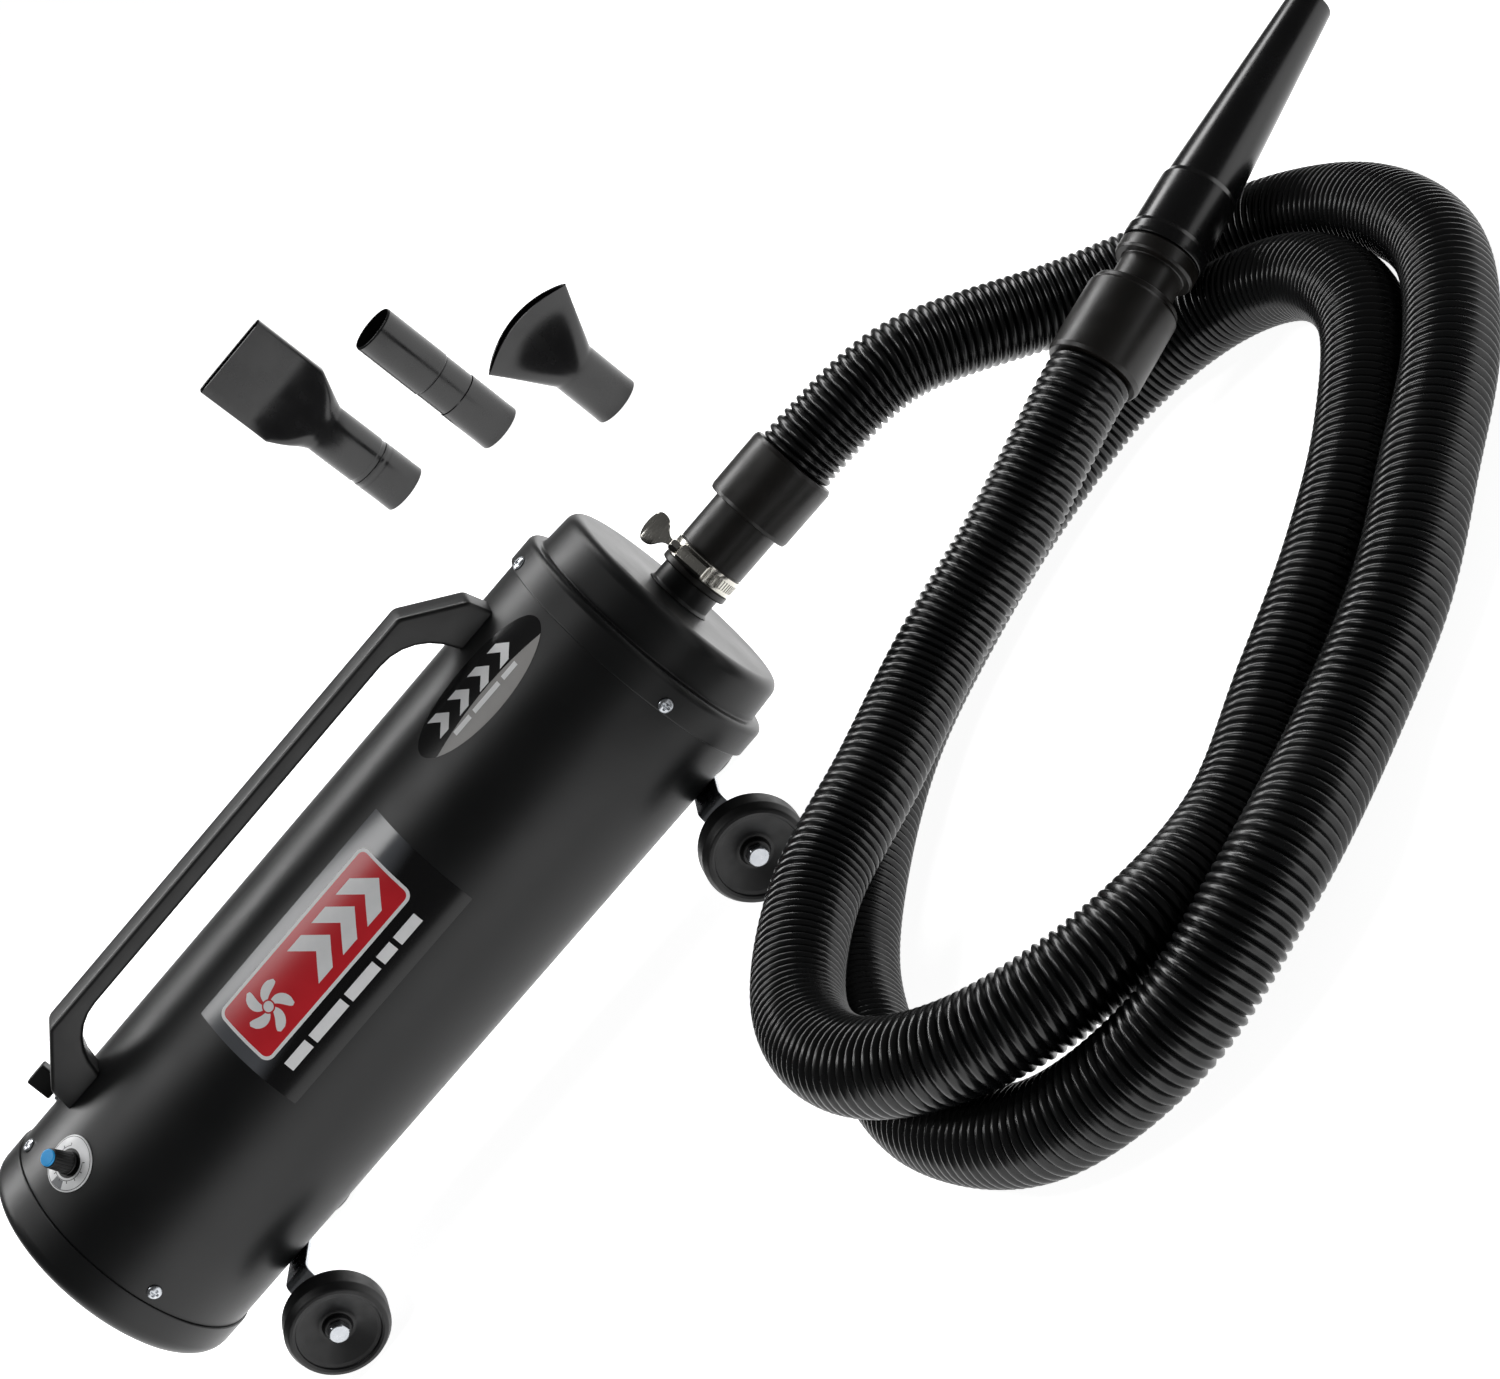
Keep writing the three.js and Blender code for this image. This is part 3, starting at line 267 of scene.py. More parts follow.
# %% Helpers for finishes
def linear(code):
    """An sRGB hex colour in linear light: each channel goes through the sRGB curve."""
    value = np.array([int(code[i : i + 2], 16) for i in (1, 3, 5)]) / 255
    curve = np.where(value <= 0.04045, value / 12.92, ((value + 0.055) / 1.055) ** 2.4)
    return (*curve.tolist(), 1.0)


def add(tree, kind, links=(), **settings):
    """Adds a node, sets its properties or its sockets' values, and links (socket, output) pairs into it."""
    node = tree.nodes.new(kind)
    for key, value in settings.items():
        if hasattr(node, key):
            setattr(node, key, value)
        else:
            node.inputs[key.replace("_", " ")].default_value = value
    for socket, output in links:
        tree.links.new(output, node.inputs[socket])
    return node


def begin(name, colour, roughness, metallic=0.0, **sockets):
    """A material with its uniform values set straight on the shader."""
    material = bpy.data.materials.new(name)
    material.use_nodes = True
    tree = material.node_tree
    shader = tree.nodes["Principled BSDF"]
    shader.inputs["Base Color"].default_value = linear(colour)
    shader.inputs["Roughness"].default_value = roughness
    shader.inputs["Metallic"].default_value = metallic
    for key, value in sockets.items():
        shader.inputs[key.replace("_", " ")].default_value = value
    place_node = add(tree, "ShaderNodeTexCoord")
    return material, tree, shader, place_node.outputs["Object"]


def grain(tree, shader, spot, size, height, strength):
    """A noise of that grain size as a bump; size and height are in millimetres."""
    noise = add(tree, "ShaderNodeTexNoise", [("Vector", spot)], Scale=1 / (size * MM), Detail=3.0)
    bump = add(tree, "ShaderNodeBump", [("Height", noise.outputs[0])], Strength=strength, Distance=height * MM)
    tree.links.new(bump.outputs[0], shader.inputs["Normal"])


def varied(tree, shader, spot, size, low, high, socket="Roughness"):
    """A broad noise that moves one number of the shader between low and high, as handling and dust do."""
    noise = add(tree, "ShaderNodeTexNoise", [("Vector", spot)], Scale=1 / (size * MM), Detail=4.0)
    band = add(tree, "ShaderNodeMapRange", [("Value", noise.outputs[0])], From_Min=0.3, From_Max=0.7)
    band.inputs["To Min"].default_value = low
    band.inputs["To Max"].default_value = high
    tree.links.new(band.outputs[0], shader.inputs[socket])


def mottled(tree, shader, spot, size, first, second):
    """A broad noise between two colours."""
    noise = add(tree, "ShaderNodeTexNoise", [("Vector", spot)], Scale=1 / (size * MM), Detail=4.0)
    blend = add(tree, "ShaderNodeMix", data_type="RGBA")
    tree.links.new(noise.outputs[0], blend.inputs["Factor"])
    for colour_socket, value in ((6, first), (7, second)):
        blend.inputs[colour_socket].default_value = linear(value)
    tree.links.new(blend.outputs[2], shader.inputs["Base Color"])


def finish(name, colour, roughness, metallic=0.0, rough=None, bump=None, tint=None, **sockets):
    """A material with noises: rough (size, low, high), bump (size, height, strength), tint (size, two colours)."""
    material, tree, shader, spot = begin(name, colour, roughness, metallic, **sockets)
    for vary, numbers in ((varied, rough), (grain, bump), (mottled, tint)):
        if numbers:
            vary(tree, shader, spot, *numbers)
    print(f"{name}: {colour}, roughness {roughness}")
    return material


# %% [markdown]
# **Powder coat** is polyester powder baked on steel. It flows into a film with a fine orange peel, so its
# highlight is broad and slightly grainy. Peel has a period near half a millimetre, drawn here a little coarser.

# %% Powder coat
coat = finish("powder_coat", "#08090a", 0.4, rough=(60, 0.34, 0.42), bump=(0.9, 0.05, 0.45),
              tint=(40, "#060708", "#0a0b0c"), Specular_IOR_Level=0.4)

# %% [markdown]
# **Zinc plate** on the screws, bolts and straps is bright with a slightly cloudy, bluish skin. **Stainless steel**
# strip is rolled, which leaves fine streaks along it, so its noise is stretched before use. **Aluminium**, pressed
# **steel** and the motors' enamelled **copper** are plain metals that lie inside.

# %% Metals
zinc = finish("zinc_plate", "#c3c6ca", 0.3, 1.0, rough=(6, 0.22, 0.38), tint=(5, "#b4b8be", "#d2d5d9"))
aluminium = finish("mill_aluminium", "#b9bbbd", 0.38, 1.0, rough=(10, 0.32, 0.45))
steel_sheet = finish("pressed_steel", "#8d9094", 0.4, 1.0, rough=(15, 0.34, 0.48))
copper = finish("enamelled_copper", "#9a5230", 0.4, 1.0, rough=(3, 0.3, 0.5))

stainless, tree, shader, spot = begin("rolled_stainless", "#d6d3cb", 0.2, 1.0)
streaks = add(tree, "ShaderNodeMapping", [("Vector", spot)], Scale=(1.0, 12.0, 1.0))
varied(tree, shader, streaks.outputs[0], size=4, low=0.14, high=0.28)
grain(tree, shader, streaks.outputs[0], size=0.5, height=0.01, strength=0.2)

# %% [markdown]
# **Moulded plastic** copies its mould. The handle's mould is spark-eroded and leaves a fine satin grain, and the
# nozzles' moulds are polished, so they shine. The hose is soft vinyl and the cuffs are rubber, a little brown. The
# filter is open foam, which scatters so much light that it looks matt.

# %% Plastics, rubber and foam
satin = finish("satin_moulding", "#0a0a0b", 0.38, rough=(30, 0.36, 0.46), bump=(0.7, 0.03, 0.35),
               tint=(30, "#090909", "#0e0e0f"))
shiny = finish("polished_moulding", "#0a0a0b", 0.24, rough=(25, 0.2, 0.3), bump=(5, 0.05, 0.15),
               tint=(30, "#09090a", "#0f0f10"))
hose_vinyl = finish("hose_vinyl", "#08090a", 0.27, rough=(40, 0.22, 0.32), bump=(2.5, 0.05, 0.15),
                    tint=(50, "#070809", "#0c0d0e"))
cuff_rubber = finish("cuff_rubber", "#14110f", 0.36, rough=(20, 0.3, 0.42), bump=(1.2, 0.04, 0.25),
                     tint=(20, "#110f0d", "#191613"))
tyre = finish("wheel_plastic", "#0c0c0d", 0.45, rough=(12, 0.38, 0.55), bump=(0.8, 0.03, 0.3),
              tint=(15, "#0a0a0b", "#131314"))
blue_plastic = finish("blue_plastic", "#1c9ae0", 0.3, tint=(4, "#1690d8", "#33a9ea"))
foam = finish("filter_foam", "#232427", 0.9, bump=(1.5, 0.5, 0.9))

# %% [markdown]
# **Inks** on the dial and the labels are screen-printed: a thick, even, slightly glossy film.

# %% Inks
white_ink = finish("white_ink", "#e8e9ea", 0.35, tint=(8, "#dfe1e2", "#efeff0"))
red_ink = finish("red_ink", "#c81f2a", 0.3, tint=(25, "#be1a25", "#d42a33"))
grey_ink = finish("grey_ink", "#8f8d8b", 0.35, tint=(10, "#898785", "#969492"))
graphite = finish("graphite_ink", "#6b6d70", 0.4, tint=(4, "#66686b", "#727477"))

# %% [markdown]
# ** Label film** is glossy black vinyl. A painted highlight in its colour, a grey that fades out halfway down,
# stands in for the light on its upper half. A height in the frame drives the fade, through a smooth step between two
# levels.

# %% Label films
def film(name, low, high, dark, pale, lean):
    """A glossy film with a painted highlight: its colour goes from dark to pale between two heights, which lean
    along the canister.
    """
    material, tree, shader, spot = begin(name, dark, 0.16)
    slant = add(tree, "ShaderNodeVectorMath", [(0, spot)], operation="DOT_PRODUCT")
    slant.inputs[1].default_value = (lean, 0, 1)
    band = add(tree, "ShaderNodeMapRange", [("Value", slant.outputs["Value"])],
               interpolation_type="SMOOTHSTEP")
    base = MIDDLE[2] + lean * MIDDLE[0]
    band.inputs["From Min"].default_value = base + low * MM
    band.inputs["From Max"].default_value = base + high * MM
    blend = add(tree, "ShaderNodeMix", data_type="RGBA")
    tree.links.new(band.outputs[0], blend.inputs["Factor"])
    blend.inputs[6].default_value, blend.inputs[7].default_value = linear(dark), linear(pale)
    tree.links.new(blend.outputs[2], shader.inputs["Base Color"])
    print(f"{name}: {dark} to {pale} between {low} and {high} mm")
    return material


# painted highlight: both films are paler towards the top, where the light falls on the tube
label_film_painted_highlight = film("label_film_painted_highlight", 48, 62, "#0b0b0c", "#55575b", -0.12)
oval_film_painted_highlight = film("oval_film_painted_highlight", 60, 100, "#050505", "#0e0e0f", 0.0)

# %% [markdown]
# ## The hose
# The hose is blown vinyl with a round rib every 6.2 mm. It leaves the outlet level, sinks to the floor, lies
# there in two turns, climbs over its own first turn and ends at the nozzle. A curve object with a bevel would give
# a smooth tube; a computed curve also gives the distance along it, and that distance drives the ribs.

# %% The hose's route
HOSE_RADIUS, RIB_PITCH, RIB_DEPTH = 29.0, 6.2, 3.8
OUTLET_FACE = 441.3
TOOL_START, TOOL_TURN = np.array([617.0, -126.0, 94.0]), np.radians(23.0)
TOOL_WAY = np.array([np.cos(TOOL_TURN), np.sin(TOOL_TURN), 0])
LEAD, GAP = 20.0, 0.3

ROUTE = np.array([
    (0.539, -0.001, 0.150), (0.648, -0.003, 0.085), (0.731, -0.017, 0.045), (0.787, -0.067, 0.031),
    (0.816, -0.149, 0.030), (0.811, -0.248, 0.031), (0.763, -0.336, 0.031), (0.698, -0.405, 0.031),
    (0.629, -0.471, 0.030), (0.549, -0.525, 0.032), (0.470, -0.582, 0.045), (0.375, -0.603, 0.039),
    (0.285, -0.567, 0.031), (0.232, -0.485, 0.030), (0.222, -0.392, 0.030), (0.239, -0.299, 0.030),
    (0.289, -0.215, 0.031), (0.353, -0.145, 0.031), (0.432, -0.096, 0.030), (0.526, -0.059, 0.030),
    (0.629, -0.044, 0.030), (0.712, -0.081, 0.032), (0.755, -0.148, 0.034), (0.752, -0.237, 0.035),
    (0.694, -0.324, 0.032), (0.625, -0.390, 0.030), (0.550, -0.446, 0.030), (0.471, -0.509, 0.036),
    (0.383, -0.549, 0.064), (0.290, -0.534, 0.083), (0.230, -0.476, 0.091), (0.216, -0.394, 0.091),
    (0.261, -0.299, 0.086), (0.340, -0.241, 0.079), (0.419, -0.189, 0.077), (0.509, -0.164, 0.084),
])
outlet = np.array([OUTLET_FACE, 0, -FLOOR])
tool_end = TOOL_START - GAP * TOOL_WAY
route = np.vstack([outlet, outlet + [LEAD, 0, 0], ROUTE / MM, tool_end - LEAD * TOOL_WAY, tool_end])


def smooth_curve(points, steps=40):
    """Centripetal Catmull-Rom: cubics between the points, with slopes weighed by the root of distances."""
    whole = np.vstack([2 * points[0] - points[1], points, 2 * points[-1] - points[-2]])
    before, start, end, after = whole[:-3], whole[1:-2], whole[2:-1], whole[3:]
    pairs = (before, start), (start, end), (end, after)
    first, middle, last = (np.linalg.norm(b - a, axis=1, keepdims=True) ** 0.5 for a, b in pairs)
    out = middle * ((start - before) / first - (end - before) / (first + middle) + (end - start) / middle)
    into = middle * ((end - start) / middle - (after - start) / (middle + last) + (after - end) / last)
    t = np.linspace(0, 1, steps, endpoint=False)[:, None, None]
    square, cube = 3 * (end - start) - 2 * out - into, 2 * (start - end) + out + into
    curve = start + out * t + square * t**2 + cube * t**3
    return np.vstack([curve.transpose(1, 0, 2).reshape(-1, 3), points[-1]])


def evenly(curve, spacing):
    """The same curve with points an equal distance apart."""
    reach = np.concatenate([[0], np.cumsum(np.linalg.norm(np.diff(curve, axis=0), axis=1))])
    stops = np.linspace(0, reach[-1], int(round(reach[-1] / spacing)) + 1)
    return np.column_stack([np.interp(stops, reach, curve[:, i]) for i in range(3)]), stops


ROWS_PER_RIB, HOSE_SIDES = 5, 32
centre, along = evenly(smooth_curve(route), RIB_PITCH / ROWS_PER_RIB)
print(f"hose: {along[-1]:.0f} mm long, {len(centre)} rings")

# %% [markdown]
# The tube is a circle carried along the curve. Each circle's first direction is level and its second stands on it,
# so the tube doesn't twist. The radius follows a rectified sine, which makes round crests and narrow valleys.

# %% The ribbed tube
forward = np.gradient(centre, axis=0)
forward /= np.linalg.norm(forward, axis=1, keepdims=True)
sideways = np.cross(forward, [0, 0, 1])
sideways /= np.linalg.norm(sideways, axis=1, keepdims=True)
over = np.cross(sideways, forward)
crest = np.abs(np.sin(np.pi * along / RIB_PITCH)) ** 0.6
radius = HOSE_RADIUS - RIB_DEPTH * (1 - crest)
angle = np.linspace(0, 2 * np.pi, HOSE_SIDES, endpoint=False)
ring = np.cos(angle)[:, None] * sideways[:, None] + np.sin(angle)[:, None] * over[:, None]
tube = centre[:, None] + radius[:, None, None] * ring
hose = piece("ribbed_hose", grid(from_floor(capped(tube))), hose_vinyl, "hose", crease=80)

# %% [markdown]
# ## The canister
# The tube is rolled sheet. The two end caps are spun: the front one is a skirt over the tube with a step down to
# a smaller drum, and the rear one stands a little proud round the air intake. A cylinder with modifiers would do
# for the tube, but the caps need their real outline, wall and all, so all three are turned from closed profiles.

# %% Tube and caps
CAP_END, CAP_WALL = 32, 1.6
REAR_FACE = TUBE_REAR - CAP_END
SKIRT_REAR, SKIRT_FRONT, SKIRT_RADIUS = 262.0, 285.0, 104.8
DRUM_RADIUS, FRONT_FACE = 94.8, 317.0
NECK_RADIUS = 23.1
INTAKE_RADIUS = 72.0

TUBE_BORE = 99.9
tube_profile = rounded([
    (TUBE_REAR, TUBE_BORE), (TUBE_REAR, TUBE_RADIUS), (TUBE_FRONT, TUBE_RADIUS), (TUBE_FRONT, TUBE_BORE),
], 0.4, closed=True)
piece("rolled_tube", turned(tube_profile, sides=192, ring=True), coat, "body_tube")

front_profile = rounded([
    (SKIRT_REAR, TUBE_RADIUS + 0.25, 0.2), (SKIRT_REAR, SKIRT_RADIUS, 1.0), (SKIRT_FRONT, SKIRT_RADIUS, 5.0),
    (SKIRT_FRONT + 0.6, DRUM_RADIUS + 0.4, 1.6), (FRONT_FACE, DRUM_RADIUS - 1.5, 9.0),
    (FRONT_FACE, NECK_RADIUS + 0.3, 0.6), (FRONT_FACE - CAP_WALL, NECK_RADIUS + 0.3, 0.5),
    (FRONT_FACE - CAP_WALL, DRUM_RADIUS - 3.2, 7.0), (282.0, DRUM_RADIUS - 1.6, 1.0),
    (282.0, TUBE_RADIUS + 0.25, 0.5),
], closed=True, steps=8)
piece("front_cap_spun", turned(front_profile, sides=192, ring=True), coat, "front_cap")

REAR_OUTER = 103.1
rear_profile = rounded([
    (-263.0, 98.0, 0.3), (-263.0, 99.5, 0.3), (-285.05, 99.5, 0.1), (-285.05, REAR_OUTER, 0.9),
    (REAR_FACE, REAR_OUTER, 12.5), (REAR_FACE, INTAKE_RADIUS, 1.2), (REAR_FACE + CAP_WALL, INTAKE_RADIUS, 0.4),
    (REAR_FACE + CAP_WALL, REAR_OUTER - 1.6, 11.0), (-287.0, REAR_OUTER - 1.6, 0.5), (-287.0, 98.0, 0.5),
], closed=True, steps=8)
piece("rear_cap_spun", turned(rear_profile, sides=192, ring=True), coat, "rear_cap")

# %% [markdown]
# The intake grille is punched sheet: round holes on a triangular grid. Cutting hundreds of holes with booleans is
# slow and leaves poor faces. Each hole is a hexagon of sheet with a circle cut out instead, so the sheet is one
# small ring of faces repeated over the grid.


# %% Intake grille
def punched_sheet(reach, pitch, hole, low, high, corners=12):
    """Hexagons of sheet with a round hole each, kept where their middles lie well inside the reach."""
    column, line = np.meshgrid(np.arange(-20, 21), np.arange(-20, 21))
    y = pitch * (column + 0.5 * line).ravel()
    z = pitch * (np.sqrt(3) / 2 * line).ravel()
    keep = np.hypot(y, z) < reach - pitch
    centres = np.column_stack([y[keep], z[keep]])
    turn = np.linspace(0, 2 * np.pi, corners, endpoint=False) + np.pi / 6
    wide = pitch / 2 / np.cos(turn % (np.pi / 3) - np.pi / 6)
    levels = [(low, wide), (high, wide), (high, 0 * wide + hole), (low, 0 * wide + hole)]
    rows = np.array([
        np.column_stack([np.full(corners, x), r * np.cos(turn), r * np.sin(turn)]) for x, r in levels
    ])
    vertices, faces = grid(rows, wrap_rows=True)
    shifts = np.column_stack([np.zeros(len(centres)), centres])
    spread = (shifts[:, None] + vertices[None]).reshape(-1, 3)
    joined = (faces[None] + len(vertices) * np.arange(len(centres))[:, None, None]).reshape(-1, 4)
    return spread, joined


SHEET = REAR_FACE + CAP_WALL + GAP
SHEET_RADIUS, HOLE_PITCH, HOLE_RADIUS, RIM_BORE, PAD_RADIUS = 80, 7.5, 2.7, 64, 90
holes, hole_faces = punched_sheet(SHEET_RADIUS, HOLE_PITCH, HOLE_RADIUS, SHEET, SHEET + 1.2)
rim = rounded([
    (SHEET + 0.2, RIM_BORE), (SHEET + 0.2, SHEET_RADIUS), (SHEET + 1.0, SHEET_RADIUS), (SHEET + 1.0, RIM_BORE),
], 0.1, closed=True)
piece("intake_sheet", together((put(holes, AXIS), hole_faces), turned(rim, ring=True)), coat, "intake_grille")
pad = rounded([(SHEET + 2, 0), (SHEET + 2, PAD_RADIUS), (SHEET + 15, PAD_RADIUS), (SHEET + 15, 0)], 1.5)
piece("intake_foam", turned(pad), foam, "intake_filter")

# %% [markdown]
# Eight zinc-plated pan-head screws hold the caps. A head is a low dome with a cross pressed into it. Its height is
# a dome over radius and angle, less a step inside either bar of the cross, with no boolean to leave rough edges.


# %% Pan-head screws
def pan_head(at, radius=5.3, height=2.6, shank=6.0):
    """A dome 1 - r**2.6, sunk inside a cross whose bars are 1.3 mm wide and 5.6 mm long."""
    share = np.concatenate([np.linspace(0, 0.62, 18), np.linspace(0.68, 1, 9)])[:, None]
    angle = np.linspace(0, 2 * np.pi, 72, endpoint=False)[None]
    y, z = radius * share * np.cos(angle), radius * share * np.sin(angle)
    dome = 0.7 + (height - 0.7) * np.maximum(1 - share**2.6, 0) ** 0.7 + 0 * angle
    bars = np.minimum(np.abs(y), np.abs(z))
    sunk = 1 / (1 + np.exp((bars - 0.75) / 0.12)) / (1 + np.exp((radius * share - 2.9) / 0.15))
    top = np.stack([dome - 1.5 * sunk, y, z], axis=-1)
    under = [(0.1, radius), (0.1, 1.9), (-shank, 1.9), (-shank, 0)]
    rows = [np.stack([x + 0 * angle[0], r * np.cos(angle[0]), r * np.sin(angle[0])], axis=-1) for x, r in under]
    return grid(put(np.concatenate([top, np.array(rows)]), at))


REAR_SCREW_X, FRONT_SCREW_X, HANDLE_SCREW_X, WHEEL_BASE = -275.0, 268.0, 213.0, 451.0
for number, degrees in enumerate((0, 90, 180, 270), start=1):
    for end, x, reach in (("rear", REAR_SCREW_X, TUBE_RADIUS), ("front", FRONT_SCREW_X, SKIRT_RADIUS)):
        name = f"{end}_cap_screw_{number}"
        piece(name + "_head", pan_head(outward(x, degrees, reach + 0.2)), zinc, name, crease=50)
for end, side in (("rear", -1), ("front", 1)):
    below = outward(side * WHEEL_BASE / 2, 180, TUBE_RADIUS + 3.5)
    piece(f"strap_screw_{end}_head", pan_head(below), zinc, f"axle_strap_screw_{end}", crease=50)
    inside = place((side * HANDLE_SCREW_X, 0, TUBE_BORE - 0.5), (0, 0, -1), (1, 0, 0))
    piece(f"handle_screw_{end}_head", pan_head(inside, shank=13), zinc, f"handle_screw_{end}", crease=50)

# %% [markdown]
# The handle is one moulding: a flat grip on two splayed feet. A bevelled cube could be bent to this shape, but the
# side view is what tells. So it is an outline with round corners, set at several widths, each a little smaller
# towards the sides, so that all edges are round. The feet are lifted on to the tube, which makes them fit it.

# %% Handle
HANDLE_HALF, HANDLE_TOP, GRIP = 230.0, 150.0, 13.5


def handle_outline():
    """The right half's corners, outside then inside, mirrored into a closed outline with round corners."""
    outer = [(HANDLE_HALF + 2, 90, 0.5), (HANDLE_HALF - 2, HANDLE_TOP - 31, 7), (HANDLE_HALF - 41, HANDLE_TOP, 9)]
    inner = [(198, 40, 0.5), (197, HANDLE_TOP - GRIP, 42)]
    left = [(-x, z, r) for x, z, r in outer]
    under = [(-x, z, r) for x, z, r in inner] + inner[::-1]
    return rounded([*outer, *left[::-1], *under][::-1], closed=True, steps=7)


def inward(outline, distance):
    """The outline moved inwards along the mean normal of its two sides."""
    along_it = np.roll(outline, -1, axis=0) - np.roll(outline, 1, axis=0)
    along_it /= np.linalg.norm(along_it, axis=1, keepdims=True)
    normal = np.column_stack([-along_it[:, 1], along_it[:, 0]])
    following = np.roll(outline, -1, axis=0)
    twice_area = np.sum(outline[:, 0] * following[:, 1] - outline[:, 1] * following[:, 0])
    return outline + distance * np.sign(twice_area) * normal


def slab(outline, half, edge, steps=4):
    """The outline at widths from -half to half; the last few millimetres shrink along a quarter circle."""
    turn = np.linspace(0, np.pi / 2, steps + 1)
    inset, wide = edge * (1 - np.sin(turn)), half - edge * (1 - np.cos(turn))
    levels = list(zip(wide, inset))
    levels += [(-w, i) for w, i in levels[::-1]]
    return [(w, inward(outline, i)) for w, i in levels]


def in_side_view(outline, wide):
    """Outline (x, z) at a width y, with what lies under the tube's surface lifted on to it."""
    x, z = outline.T
    seat = np.sqrt((TUBE_RADIUS + GAP) ** 2 - wide**2)
    return put(np.column_stack([x, np.full(len(x), wide), np.maximum(z, seat)]), AXIS)


def slab_piece(name, levels, to_points, material, node):
    """Rows of the slab as a closed skin, with both flat sides filled by one face each and cut into triangles."""
    rows = np.array([to_points(outline, wide) for wide, outline in levels])
    vertices, quads = grid(rows)
    count = rows.shape[1]
    first, last = list(range(count)), list(range(len(vertices) - count, len(vertices)))
    mesh = bpy.data.meshes.new(name)
    mesh.from_pydata(vertices.tolist(), [], quads.tolist() + [first[::-1], last])
    work = bmesh.new()
    work.from_mesh(mesh)
    bmesh.ops.recalc_face_normals(work, faces=work.faces)
    bmesh.ops.triangulate(work, faces=[face for face in work.faces if len(face.verts) > 4])
    work.to_mesh(mesh)
    work.free()
    return hand_over(name, mesh, material, node, None, crease=30)


slab_piece("handle_moulding", slab(handle_outline(), 12.0, 3.0), in_side_view, satin, "handle")

# %% [markdown]
# ## Wheels and straps
# Each strap is a flat zinc-plated bar, bent in a press: it follows the tube's underside, leaves it on a slant and
# turns down at a tight bend, which shows as a bright line. A Curve modifier would bend a straight bar; here the
# bar's section is carried along its middle line, and its half width follows a circle towards the round ends.

# %% Straps
STRAP_WIDTH, STRAP_THICK, STRAP_Y = 22.0, 3.0, 85.9
STRAP_HALF = STRAP_WIDTH / 2
hug = TUBE_RADIUS + GAP + STRAP_THICK / 2


def strap_line():
    """Half the strap's middle line in (y, z): an arc round the tube, a slant, a tight bend and a straight leg."""
    turn = np.radians(np.linspace(0, 15, 8))
    arc = hug * np.column_stack([np.sin(turn), -np.cos(turn)])
    bend = rounded([
        tuple(arc[-1]), (STRAP_Y - 14, 32 - AXLE_DROP, 7), (STRAP_Y, 12 - AXLE_DROP, 14),
        (STRAP_Y, -12 - AXLE_DROP),
    ], steps=10)
    half = np.vstack([arc[:-1], bend])
    half, _ = evenly(np.column_stack([half, np.zeros(len(half))]), 1.0)
    return np.vstack([half[:0:-1] * [-1, 1, 1], half])[:, :2]


line = strap_line()
slope = np.gradient(line, axis=0)
slope /= np.linalg.norm(slope, axis=1, keepdims=True)
normal = np.column_stack([-slope[:, 1], slope[:, 0]])
from_end = np.minimum(np.arange(len(line)), np.arange(len(line))[::-1])
rounding = 1 - np.clip(from_end / STRAP_HALF, 0, 1)
half_width = np.sqrt(np.clip(1 - rounding**2, 0.002, 1)) * STRAP_HALF
corner = rounded([
    (-STRAP_HALF, -STRAP_THICK / 2), (STRAP_HALF, -STRAP_THICK / 2), (STRAP_HALF, STRAP_THICK / 2),
    (-STRAP_HALF, STRAP_THICK / 2),
], 0.8, closed=True, steps=3)
for end, side in (("front", 1), ("rear", -1)):
    across, thick = corner[None, :, 0] * half_width[:, None] / STRAP_HALF, corner[None, :, 1]
    points = np.stack([
        side * WHEEL_BASE / 2 + across,
        line[:, :1] + thick * normal[:, :1],
        line[:, 1:] + thick * normal[:, 1:],
    ], axis=-1)
    piece(f"strap_{end}_bar", grid(put(capped(points), AXIS)), zinc, f"axle_strap_{end}")

# %% [markdown]
# The wheels are solid mouldings with a deep dish round the hub, and each turns on its own bolt. A bolt's head is a
# hexagon whose corners were turned off at a slant, so each level of it is the smaller of a hexagon and a circle.

# %% Wheels, bolts and nuts
TREAD_Y, WHEEL_HALF, HUB_FACE, AXLE_RADIUS = 102.0, 14.0, 9.4, 4.0
wheel_profile = rounded([
    (-WHEEL_HALF, 4.4, 0.4), (-WHEEL_HALF, 12, 1), (-11, 14, 1), (-11, 29, 1.5), (-WHEEL_HALF, 31, 1),
    (-WHEEL_HALF, 34, 2), (-8, WHEEL_RADIUS, 5), (7, WHEEL_RADIUS, 4), (13.2, 35.2, 2.6), (WHEEL_HALF, 32.4, 0.7),
    (13.2, 30.6, 0.6), (11.6, 30.2, 0.8), (10.8, 27.4, 2.5), (5, 13.2, 3), (4.6, 10.8, 1.5), (HUB_FACE, 9.6, 1.2),
    (HUB_FACE, 4.4, 0.5),
], closed=True, steps=5)


def hexagon(radius):
    """Six straight sides as 48 points: the radius over the cosine of the angle to the nearest flat's middle."""
    angle = np.linspace(0, 2 * np.pi, 48, endpoint=False)
    off = (angle + np.pi / 6) % (np.pi / 3) - np.pi / 6
    reach = radius * np.cos(np.pi / 6) / np.cos(off)
    return np.column_stack([reach * np.cos(angle), reach * np.sin(angle)])


def hex_head(at, low, high, radius):
    """A hexagon cut off by a cone at its outer face: each level is the smaller of the hexagon and a circle."""
    outline = hexagon(radius)
    reach = np.linalg.norm(outline, axis=1, keepdims=True)
    flat = radius * np.cos(np.pi / 6)
    levels = [
        (low, 0.0), (low, radius), (high - 1.6, radius), (high - 1.2, radius * 0.985), (high - 0.5, flat * 1.03),
        (high - 0.15, flat * 0.97), (high, flat * 0.93), (high, 0.0),
    ]
    rows = [np.column_stack([np.full(48, x), outline * np.minimum(1, limit / reach)]) for x, limit in levels]
    return grid(put(np.array(rows), at))


